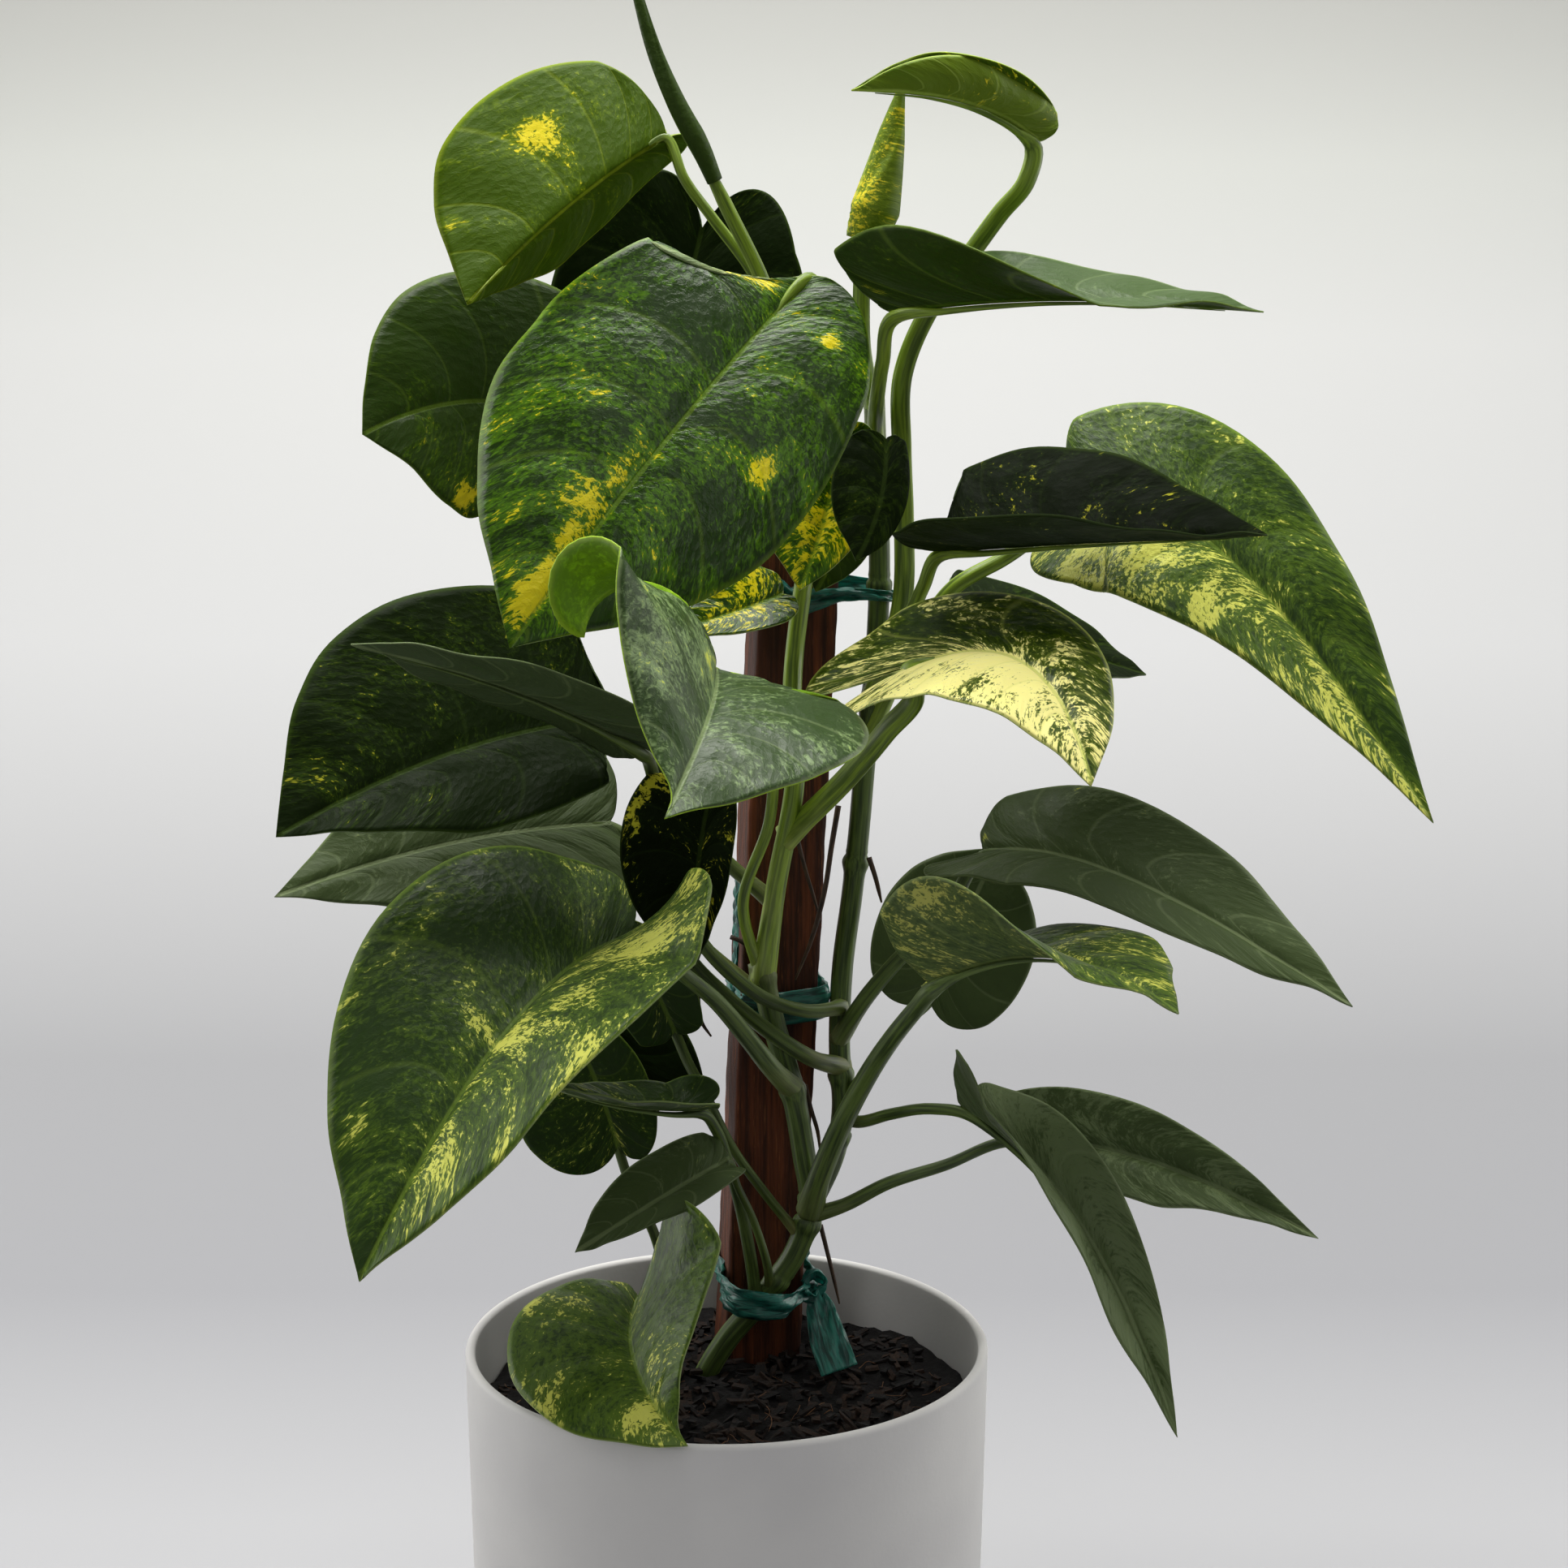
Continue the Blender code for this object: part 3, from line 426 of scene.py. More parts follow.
print("grid of one blade:", BLADE_ROWS, "by", 2*BLADE_COLUMNS + 1)

# %% [markdown]
# ## Finish of a blade
# A pothos leaf has a waxy skin over green tissue. Where the tissue has lost its green it shows gold, in
# streaks and flecks that run along the side veins. So the finish mixes three colours, deep green, fresh
# green and gold, by streaky noise that is stretched along the rows of the blade, and a mark on the mesh,
# `gold`, says how much gold each place gets. The wax gives a roughness near 0.4 with an IOR
# of 1.45, and small cells of about 2 mm dimple the sheen. The underside is paler and duller.

# %% Blade finishes
WAX_IOR = 1.45
VEIN_WIDTH = 0.045
CELL_SIZE = (2.6, 1.9, 2.0)
BLADE_GRAINS = {
    # name: size of a grain along the three axes in mm, detail, roughness, distortion
    "streak": ((6.0, 2.4, 4.0), 3.0, 0.65, 1.2),
    "fleck": ((1.7, 0.9, 2.0), 2.0, 0.7, 0.8),
    "patch": ((19.0, 10.0, 14.0), 2.0, 0.6, 0.5),
    "worn": ((9.0, 6.0, 6.0), 3.0, 0.5, 0.0),
}
LEVEL_WEIGHTS = (("streak", 0.42), ("fleck", 0.58), ("patch", 0.55), ("gold", 0.5))
LEVEL_START = -0.525


def blade_finish(name, deep, fresh, gold, vein_and_rim_highlight, roughness, soft, shine, show, cells=0.32):
    """Waxy leaf skin: marbled along the side veins, with pale veins, a pale margin line that is a painted rim
    highlight, and a dimpled sheen.

    The sum of noises and gold mark is a level. With the leaf's tone added, which is partly
    painted light and shade, above 0.36 the deep green turns fresh; from 0.525 on gold shows,
    thinly at first and fully at 0.60.
    """
    made, tree, shader = finish(name, IOR=WAX_IOR, Specular_IOR_Level=shine, Subsurface_Weight=soft,
                                Subsurface_Radius=(1.0, 1.6, 0.4), Subsurface_Scale=0.001)
    skin = node(tree, "Attribute", out="Vector", attribute_name="skin")
    read = {key: node(tree, "Attribute", out="Fac", attribute_name=key)
            for key in ("veins", "edge", "gold", "tone")}
    for key, (size, detail, rough, distortion) in BLADE_GRAINS.items():
        placed = node(tree, "Mapping", {"Vector": skin, "Scale": per_mm(*size)})
        read[key] = node(tree, "TexNoise", {"Vector": placed, "Scale": 1.0, "Detail": detail,
                                            "Roughness": rough, "Distortion": distortion})
    level = LEVEL_START
    for key, weight in LEVEL_WEIGHTS:
        level = node(tree, "Math", (read[key], weight, level), operation="MULTIPLY_ADD")
    # the tone is partly the leaf's own colour and partly painted light and shade
    level_with_light_and_shade = node(tree, "Math", (level, read["tone"]), operation="ADD")

    part = node(tree, "Math", (read["veins"],), operation="FRACT")
    part = node(tree, "Math", (part, 0.5), operation="SUBTRACT")
    part = node(tree, "Math", (part,), operation="ABSOLUTE")
    side = node(tree, "MapRange", (part, 0.5 - VEIN_WIDTH, 0.495, 0.0, show), **SMOOTH)
    across = node(tree, "Math", (node(tree, "SeparateXYZ", (skin,)),), operation="ABSOLUTE")
    most = min(1.0, 0.3 + 1.2*show)
    middle = node(tree, "MapRange", (across, 0.0010, 0.0004, 0.0, most), **SMOOTH)
    # the pale line along the margin is a painted rim highlight
    margin = node(tree, "MapRange", (read["edge"], 0.965, 1.0, 0.0, 0.6), **SMOOTH)
    pale_lines_and_rim_highlight = node(tree, "Math", (side, middle), operation="MAXIMUM")
    pale_lines_and_rim_highlight = node(tree, "Math", (pale_lines_and_rim_highlight, margin), operation="MAXIMUM")

    colour = layers(tree, deep, (level_with_light_and_shade, 0.36, 0.58, 1.0, fresh), (level, 0.525, 0.575, 0.38, gold),
                    (level, 0.57, 0.60, 1.0, gold))
    colour = node(tree, "Mix", {0: pale_lines_and_rim_highlight, 6: colour, 7: vein_and_rim_highlight}, 2, data_type="RGBA")
    dull = node(tree, "MapRange", (read["worn"], 0.3, 0.7, roughness - 0.06, roughness + 0.10), **SMOOTH)
    placed = node(tree, "Mapping", {"Vector": skin, "Scale": per_mm(*CELL_SIZE)})
    cell = node(tree, "TexVoronoi", {"Vector": placed, "Scale": 1.0}, "Distance", feature="F1")
    height = node(tree, "Math", (cell, 0.7), operation="MULTIPLY")
    height = node(tree, "Math", (read["fleck"], 0.5, height), operation="MULTIPLY_ADD")
    height = node(tree, "Math", (pale_lines_and_rim_highlight, -0.8, height), operation="MULTIPLY_ADD")
    wire(tree, shader, colour, height, cells, dull)
    return made


BLADE_FINISHES = {
    # name: deep, fresh, gold, vein (also the colour of the painted margin highlight), roughness, soft, shine,
    # show of the side veins
    "deep": ("#141f08", "#2b3d0c", "#a8a42c", "#3c4f1c", 0.48, 0.02, 0.05, 0.14),
    "shaded": ("#0c1404", "#192608", "#a8a42c", "#2c3a12", 0.6, 0.0, 0.03, 0.15),
    "dusky": ("#404e2a", "#62704a", "#a4a83c", "#7c8a60", 0.50, 0.02, 0.16, 0.25),
    "green": ("#26380a", "#3f5808", "#b8a818", "#5c7420", 0.42, 0.05, 0.14, 0.2),
    "lit": ("#3c5204", "#5a7004", "#d8c828", "#84941c", 0.45, 0.12, 0.08, 0.25),
    "golden": ("#1e3404", "#4a7204", "#dccc18", "#6c8a18", 0.30, 0.06, 0.30, 0.2),
    "cream": ("#223404", "#50620c", "#fdf59a", "#c2cc60", 0.34, 0.08, 0.25, 0.2),
    "marbled": ("#263a10", "#4a6218", "#ccce5c", "#6c842c", 0.42, 0.04, 0.2, 0.2),
    # pale grey-green here is a painted sheen over the leaf's own deep green
    "painted_sheen_and_light": ("#2c4018", "#748a58", "#b8c04c", "#8a9c68", 0.42, 0.05, 0.28, 0.2),
    "folded": ("#3f5528", "#5e7348", "#b8c04c", "#8a9c6c", 0.46, 0.05, 0.22, 0.25),
}
UNDER_FINISHES = {
    "deep": ("#28361a", "#38472a", "#9ea04c", "#5e7044", 0.55, 0.02, 0.2, 0.3),
    "shaded": ("#1c2810", "#26341a", "#9ea04c", "#3c4a28", 0.6, 0.0, 0.05, 0.2),
    "dusky": ("#3c4a2c", "#4e5c3a", "#a4a83c", "#6e7c52", 0.55, 0.02, 0.2, 0.3),
    "green": ("#2f430c", "#48601c", "#a8a438", "#7a9048", 0.50, 0.05, 0.2, 0.3),
    "lit": ("#5e7410", "#80941c", "#d8c828", "#a4b850", 0.5, 0.15, 0.2, 0.3),
    "golden": ("#66784a", "#7f9058", "#c8c060", "#a0ae7c", 0.5, 0.06, 0.25, 0.3),
    "cream": ("#5c7030", "#80904a", "#e6e088", "#b0c078", 0.5, 0.08, 0.25, 0.3),
    "marbled": ("#3b4b2a", "#566636", "#b4b45c", "#8a9a5c", 0.52, 0.04, 0.2, 0.3),
    # bright green here is painted light on the curled-over flap of the front grey leaf
    "painted_sheen_and_light": ("#5c8004", "#7ca60c", "#d0d030", "#a0bc34", 0.5, 0.1, 0.2, 0.3),
    "folded": ("#2a3e06", "#40580b", "#a8a820", "#6c842a", 0.5, 0.06, 0.2, 0.3),
}
skins = {}
for key, values in BLADE_FINISHES.items():
    skins[key] = (blade_finish("leaf_skin_" + key, *values),
                  blade_finish("leaf_underside_" + key, *UNDER_FINISHES[key], cells=0.3))
print("blade finishes:", len(skins), "each with its underside")


# %% Blades: where they sit and how they bend, in millimetres and degrees
def leaf(slot, base, mid, tip, face, half, fold=(10, 10), curl=(0, 0), full=0.7, lobe=(1.0, 1.0),
         sweep=(0.0, 0.0), relax=(0.0, 0.0), twist=0.0, cup=(0, 0), crease=(1, 1), roll=(0, 0)):
    """Design values of one leaf; pairs are the left and right half, seen from above towards the tip.

    slot is the record's material slot and is not used; base, mid and tip are places on the midrib, face is
    the way the upper side looks, and half is the greatest half width.
    """
    return {"slot": slot, "base": base, "mid": mid, "tip": tip, "face": face, "half": half, "fold": fold,
            "curl": curl, "full": full, "lobe": lobe, "sweep": sweep, "relax": relax, "twist": twist,
            "cup": cup, "crease": crease, "roll": roll}


LEAVES = {
    "leaf_top_left": leaf("leaf_lit", (-17, 30, 517), (-46, 18, 496), (-74, 4, 468), (-0.35, -0.9, 0.3),
                          (14, 44), fold=(-70, 8), lobe=(1.0, 0.4), sweep=(0.3, 0.05), full=(0.9, 1.2)),
    "leaf_back_round": leaf("leaf_dark", (-8, 72, 492), (-18, 71, 450), (-28, 67, 398), (-0.05, -0.95, 0.3),
                            (40, 42), fold=(8, 8), lobe=(1.8, 1.6), full=1.0),
    "leaf_front_great": leaf("leaf_gold", (25, -22, 476), (-16, -44, 430), (-58, -50, 375),
                             (-0.05, -0.9, 0.35), (44, 54), fold=(8, 5), curl=(-25, -25), lobe=(0.3, -0.8),
                             sweep=(0.22, 0.25), full=(0.8, 0.9), crease=(1, 6), roll=(0, 190)),
    "leaf_left_upper": leaf("leaf_green", (-42, 34, 432), (-74, 22, 440), (-105, 2, 431),
                            (-0.2, -0.95, 0.2), (32, 42), fold=(5, 5), curl=(-15, -20), lobe=(0.5, 0.5),
                            sweep=(0.1, 0.1), full=(2.0, 0.9)),
    "leaf_inner_marbled": leaf("leaf_gold", (34, 8, 430), (30, 4, 409), (22, -3, 386), (0, -1, 0.2),
                               (14, 26)),
    "leaf_inner_shaded": leaf("leaf_green", (38, 28, 424), (35, 26, 402), (27, 22, 383), (0.1, -1, 0.2),
                              (12, 20)),
    "leaf_inner_low": leaf("leaf_gold", (17, 6, 384), (5, 1, 380), (-16, -5, 374), (0, -0.8, 0.6), (10, 12)),
    "leaf_inner_dark": leaf("leaf_dark", (47, -4, 430), (45, -12, 412), (38, -18, 396), (0.15, -0.95, 0.3),
                            (8, 15), fold=(-15, -10), lobe=(0.3, 0.6), full=1.0),
    "leaf_top_right": leaf("leaf_lit", (90, 2, 514), (68, -12, 524), (36, -24, 526), (0, -0.1, 1),
                           (13, 14), fold=(55, 55), curl=(80, 80), lobe=(0.3, 0.3), full=1.0),
    "leaf_right_blade": leaf("leaf_grey", (48, -12, 466), (96, -18, 470), (154, -8, 466), (0, 0, 1),
                             (28, 25), fold=(32, 84), curl=(0, -15), relax=(0.5, 1.8), sweep=(0.0, -0.2),
                             lobe=(0.6, 0.5), full=(1.0, 0.2)),
    "leaf_right_drooping": leaf("leaf_marbled", (112, 38, 409), (154, 26, 391), (211, 2, 316),
                                (0.25, -0.85, 0.5), (37, 42), fold=(8, 10), full=(0.2, 0.0),
                                sweep=(0.0, -0.2), lobe=(0.6, 2.0)),
    "leaf_right_dark": leaf("leaf_dark", (62, 5, 397), (105, -8, 401), (154, -25, 404), (0, -0.25, 0.97),
                            (40, 34), fold=(32, 36), relax=(0.4, 0.4), lobe=(-0.2, 0.9), sweep=(0.1, 0.0),
                            full=0.4),
    "leaf_right_shaded": leaf("leaf_dark", (70, 54, 377), (99, 56, 365), (132, 58, 353), (0, -0.4, 0.92),
                              (20, 26), lobe=(0.3, 0.3)),
    "leaf_front_gold": leaf("leaf_gold", (52, -12, 364), (85, -34, 369), (101, -65, 339),
                            (0.1, -0.35, 0.93), (28, 34), fold=(30, -8), relax=(1.2, 1.2), lobe=(2.6, 1.6),
                            sweep=(-0.2, 0.0), full=(0.5, 0.7)),
    "leaf_front_grey": leaf("leaf_grey", (-1, -63, 371), (-2, -100, 363), (-12, -133, 343), (0, -0.2, 0.97),
                            (43, 61), fold=(-12, 88), relax=(0.0, 0.6), curl=(-12, 0), crease=(1, 1.3),
                            roll=(0, -185), lobe=(-0.5, -1.0), sweep=(0.0, -0.1), full=(0.2, -0.7)),
    "leaf_left_dark": leaf("leaf_dark", (-31, 5, 347), (-76, -22, 342), (-124, -50, 322),
                           (-0.15, -0.95, 0.3), (29, 48), fold=(15, 5), lobe=(-0.5, -0.4),
                           sweep=(0.2, 0.15), full=(0.4, 1.1)),
    "leaf_left_edge": leaf("leaf_grey", (-24, -17, 342), (-58, -44, 363), (-99, -66, 378), (0, 0.3, 1),
                           (14, 14), fold=(20, -10), lobe=(0.3, 0.3)),
    "leaf_left_under": leaf("leaf_dark", (-36, 24, 312), (-84, 6, 309), (-132, -14, 297), (-0.1, -0.8, 0.6),
                            (30, 34), fold=(0, 5), lobe=(0.3, 0.3), full=0.0),
    "leaf_left_marbled": leaf("leaf_marbled", (-28, -20, 287), (-62, -56, 266), (-99, -82, 204),
                              (-0.25, -0.85, 0.45), (46, 53), fold=(32, 5), lobe=(1.2, 1.3),
                              sweep=(0.0, 0.0), full=0.8, cup=(50, 0)),
    "leaf_middle_hanging": leaf("leaf_marbled", (-4, -6, 328), (-8, -12, 303), (-9, -16, 276),
                                (-0.1, -1, 0.2), (12, 24), fold=(30, 5), lobe=(0.0, 0.3)),
    "leaf_low_back": leaf("leaf_marbled", (-35, 30, 207), (-43, 34, 230), (-54, 38, 252), (0, -1, 0.3),
                          (28, 16), fold=(5, 5)),
    "leaf_low_narrow": leaf("leaf_marbled", (-7, -5, 230), (-27, -16, 234), (-50, -28, 243), (0, 0.1, 1),
                            (14, 14), fold=(15, 25), lobe=(0.3, 1.2), cup=(0, 60)),
    "leaf_low_grey": leaf("leaf_grey", (1, -3.5, 214), (-19, -23, 208), (-43, -42, 198), (-0.2, -0.7, 0.7),
                          (9, 15), fold=(5, 5), lobe=(-0.5, 0.3), full=0.8),
    "leaf_pot_rim": leaf("leaf_marbled", (-26, -22, 177), (-25, -58, 170), (-9, -86, 158),
                         (0.1, -0.5, 0.87), (37, 36), fold=(46, -5), lobe=(1.9, 1.2), sweep=(-0.12, 0.0),
                         full=(-0.6, 0.8), cup=(30, 0)),
    "leaf_right_low": leaf("leaf_dark", (77, 0, 308), (118, -13, 303), (182, -30, 268), (0.15, -0.5, 0.86),
                           (29, 20), fold=(10, 4), lobe=(0.2, 2.2), sweep=(0.1, -0.05), full=(1.0, 0.9),
                           cup=(0, 12)),
    "leaf_right_marbled": leaf("leaf_marbled", (60, -30, 275), (94, -50, 288), (126, -68, 276), (0, 0.1, 1),
                               (26, 31), fold=(14, 84), relax=(0.3, 1.45), lobe=(1.0, 0.3),
                               sweep=(0.2, -0.06), full=(2.2, 0.3)),
    "leaf_right_hanging": leaf("leaf_dark", (63, 28, 255), (74, 37, 278), (85, 45, 300), (0, -1, 0.1),
                               (26, 25), fold=(5, 5), lobe=(0.8, 0.8), full=1.0),
    "leaf_right_trailing": leaf("leaf_dark", (71, -10, 232), (103, -36, 206), (130, -60, 149),
                                (0.5, -0.6, 0.6), (17, 20), fold=(38, 30), lobe=(0.2, 0.4),
                                sweep=(0.0, -0.1), twist=50, full=0.3, cup=(0, 60)),
    "leaf_right_outer": leaf("leaf_dark", (86, 20, 212), (130, 20, 206), (185, 20, 180), (0.2, -0.8, 0.6),
                             (17, 18), fold=(22, 22), lobe=(0.0, -0.6), sweep=(0.0, 0.2), full=0.3),
    "leaf_low_middle": leaf("leaf_marbled", (-16, 12, 249), (-27, 10, 272), (-40, 4, 288), (-0.1, -1, 0.1),
                            (14, 12), fold=(5, 5), lobe=(0.3, 0.3)),
    "leaf_low_shade": leaf("leaf_dark", (-22, 50, 214), (-40, 53, 240), (-60, 56, 262), (0, -0.9, 0.4),
                           (24, 20), fold=(5, 5), lobe=(0.3, 0.3)),
}

# %% Make the blades
# leaf: finish, gold of the left and right half, tone that makes it fresher or deeper (partly the leaf's
# own colour, partly painted light and shade), patches of gold
# a patch is (row, signed share across, row spread, share spread, strength)
LOOKS = {
    "leaf_top_left": ("lit", (0.18, 0.18), 0.0,
                      [(0.52, 0.55, 0.05, 0.20, 0.5), (0.75, 0.9, 0.04, 0.1, 0.4)]),
    "leaf_back_round": ("deep", (0.1, 0.1), 0.02, []),
    "leaf_front_great": ("golden", (0.28, 0.30), 0.04,
                         [(0.16, 0.45, 0.06, 0.25, 0.55), (0.14, 0.75, 0.05, 0.12, 0.35),
                          (0.82, 0.22, 0.08, 0.18, 0.6), (0.93, 0.4, 0.05, 0.4, 0.6),
                          (0.68, 0.1, 0.06, 0.08, 0.4), (0.30, -0.55, 0.03, 0.10, 0.6),
                          (0.52, -0.62, 0.03, 0.09, 0.65), (0.6, -0.35, 0.04, 0.1, 0.3),
                          (0.38, 0.35, 0.10, 0.25, -0.3)]),
    "leaf_left_upper": ("green", (0.25, 0.12), 0.0, [(0.6, -0.85, 0.05, 0.1, 0.5)]),
    "leaf_inner_marbled": ("golden", (0.55, 0.55), 0.0, []),
    "leaf_inner_shaded": ("green", (0.3, 0.3), -0.05, []),
    "leaf_inner_low": ("golden", (0.5, 0.5), -0.05, []),
    "leaf_inner_dark": ("deep", (0.2, 0.2), 0.06, []),
    "leaf_top_right": ("lit", (0.3, 0.3), -0.12, []),
    "leaf_right_blade": ("folded", (0.1, 0.15), 0.0, [(0.2, 0.5, 0.03, 0.3, 0.5)]),
    "leaf_right_drooping": ("marbled", (0.33, 0.58), 0.05,
                            [(0.45, 0.5, 0.2, 0.3, 0.15), (0.1, -0.9, 0.15, 0.1, 0.3)]),
    "leaf_right_dark": ("shaded", (0.28, 0.2), 0.0, []),
    "leaf_right_shaded": ("deep", (0.1, 0.1), 0.04, []),
    "leaf_front_gold": ("cream", (0.52, 0.78), 0.0,
                        [(0.45, 0.1, 0.3, 0.15, 0.3), (0.5, -0.6, 0.2, 0.3, -0.15)]),
    # the front grey leaf's finish paints its sheen and the light on its flap
    "leaf_front_grey": ("painted_sheen_and_light", (0.15, 0.25), 0.04, [(0.25, 0.12, 0.15, 0.05, 0.45)]),
    "leaf_left_dark": ("deep", (0.15, 0.22), 0.0, [(0.5, 0.6, 0.2, 0.3, 0.08)]),
    "leaf_left_edge": ("dusky", (0.1, 0.1), 0.0, []),
    "leaf_left_under": ("dusky", (0.1, 0.15), -0.02, []),
    "leaf_left_marbled": ("marbled", (0.50, 0.32), 0.02,
                          [(0.80, 0.85, 0.03, 0.12, 0.5), (0.62, 0.15, 0.02, 0.3, 0.3),
                           (0.3, 0.9, 0.12, 0.08, 0.25), (0.4, -0.4, 0.2, 0.3, 0.1)]),
    "leaf_middle_hanging": ("shaded", (0.4, 0.3), -0.05, [(0.5, 0.9, 0.3, 0.12, 0.35)]),
    "leaf_low_back": ("marbled", (0.35, 0.35), -0.05, [(0.2, 0.1, 0.2, 0.2, 0.2)]),
    "leaf_low_narrow": ("marbled", (0.3, 0.3), -0.05, []),
    "leaf_low_grey": ("dusky", (0.1, 0.2), -0.02, []),
    "leaf_pot_rim": ("marbled", (0.36, 0.38), 0.1,
                     [(0.85, 0.2, 0.1, 0.5, 0.2), (0.1, 0.9, 0.1, 0.1, 0.2)]),
    "leaf_right_low": ("dusky", (0.18, 0.12), 0.0, [(0.12, -0.6, 0.04, 0.15, 0.6)]),
    "leaf_right_marbled": ("marbled", (0.5, 0.5), 0.05, []),
    "leaf_right_hanging": ("dusky", (0.1, 0.1), -0.1, []),
    "leaf_right_trailing": ("dusky", (0.1, 0.1), 0.25, []),
    "leaf_right_outer": ("dusky", (0.1, 0.1), 0.12, []),
    "leaf_low_middle": ("marbled", (0.3, 0.3), -0.08, []),
    "leaf_low_shade": ("deep", (0.1, 0.1), -0.02, []),
}


def gold_mark(grid, levels, patches):
    """How much gold each place gets: the level of its half, and a bell-shaped rise at each patch."""
    signed = grid["share"]*np.where(grid["across"] < 0, -1, 1)
    mark = np.where(grid["across"] < 0, *levels)
    for row, share, row_spread, share_spread, strength in patches:
        away = ((grid["row"] - row)/row_spread)**2 + ((signed - share)/share_spread)**2
        mark = mark + strength*np.exp(-away)
    return mark


def add_blade(name, spec, seed):
    """A finished blade: its grid, its marks, then its thickness with the underside's own finish.

    The skin coordinates of each leaf are moved on by SKIN_STEP metres, so no two leaves share a pattern.
    """
    look, levels, tone, patches = LOOKS[name]
    grid = blade_surface(spec, seed)
    marks = {"veins": grid_with_tips(grid["veins"]), "edge": grid_with_tips(grid["share"]),
             "gold": grid_with_tips(gold_mark(grid, levels, patches)),
             # tone: partly the leaf's own colour, partly painted light and shade
             "tone": grid_with_tips(np.full(grid["share"].shape, float(tone)))}
    marks["skin"] = grid_with_tips(grid["skin"])*MM + np.array([0.0, 0.0, SKIN_STEP*seed])
    faces = blade_faces(BLADE_ROWS, 2*BLADE_COLUMNS + 1)
    corners = grid_with_tips(grid["place"])
    piece = add_piece(name + "_blade", corners, faces, skins[look], [name], marks)
    shell = piece.modifiers.new("thickness", "SOLIDIFY")
    shell.thickness = BLADE_THICK*MM
    shell.offset = 0.0
    shell.material_offset = 1
    shell.material_offset_rim = 1
    return grid


blades = {}
for number, (name, spec) in enumerate(LEAVES.items()):
    blades[name] = add_blade(name, spec, number + 1)
print("blades:", len(blades), "longest", round(max(grid["length"] for grid in blades.values())), "mm")

# %% Where stalks and stems run
# Climbing stems from the soil up: route, radius at the foot and head, and joints as (share, swell)
VINES = {
    "vine_left": ([(-12, 25, 118), (-8, 24, 132), (0, 24, 146), (10, 24, 158), (22, 24, 176),
                   (26, 24, 190), (24, 24, 205), (20, 24, 228), (14, 24, 250), (10, 24, 268)],
                  3.6, 3.6, ((0.34, 0.16), (0.47, 0.30), (0.52, 0.20), (0.74, 0.22), (0.97, 0.25))),
    "vine_right": ([(13, 69, 115), (14, 69, 140), (20, 67.5, 160), (28, 60, 180), (34, 46, 200),
                    (36, 37, 217), (35, 37, 238), (36, 42, 262), (39, 45, 285), (41, 44, 305),
                    (43, 44, 330), (46, 45, 360), (47, 45, 390), (46, 43, 415), (45, 42, 440)],
                   3.4, 3.2, ((0.30, 0.20), (0.37, 0.28), (0.57, 0.30), (0.72, 0.22), (0.83, 0.25))),
}

# Stalks that grow from a climbing stem: stem, leaf, route from the leaf, radius at the leaf and stem
GROWN_STALKS = [
    ("vine_left", "leaf_left_marbled",
     [(-27, -19, 286), (-19, -12, 279), (-12, -4, 271), (-3, 4, 261), (6, 8, 249), (13, 11, 239),
      (20, 24, 228)], 2.2, 3.4),
    ("vine_left", "leaf_low_narrow",
     [(-6, -4, 229), (-3, 2, 221), (0, 8, 210), (4, 14, 193), (7, 18, 175), (9, 24, 157)], 1.8, 2.2),
    ("vine_left", "leaf_right_marbled",
     [(59, -28, 272), (56, -25, 266), (50, -15, 255), (42, 0, 237), (33, 12, 214), (27, 20, 194),
      (26, 24, 188)], 2.8, 4.0),
    ("vine_left", "leaf_right_outer",
     [(85, 20, 211), (68, 20, 204), (50, 20, 198), (36, 22, 190), (26, 24, 186)], 1.8, 2.4),
    ("vine_right", "leaf_right_low",
     [(77, 1, 299), (66, 8, 286), (57, 14, 276), (44, 24, 258), (35, 37, 240)], 2.2, 3.0),
    ("vine_right", "leaf_right_hanging", [(61, 27.5, 252), (55, 27, 248), (46, 28, 235), (36, 37, 218)],
     2.0, 2.4),
    ("vine_right", "leaf_right_trailing",
     [(69, -8, 230), (63, -6, 230), (50, 8, 224), (42, 20, 218), (36, 37, 214)], 1.8, 2.2),
]

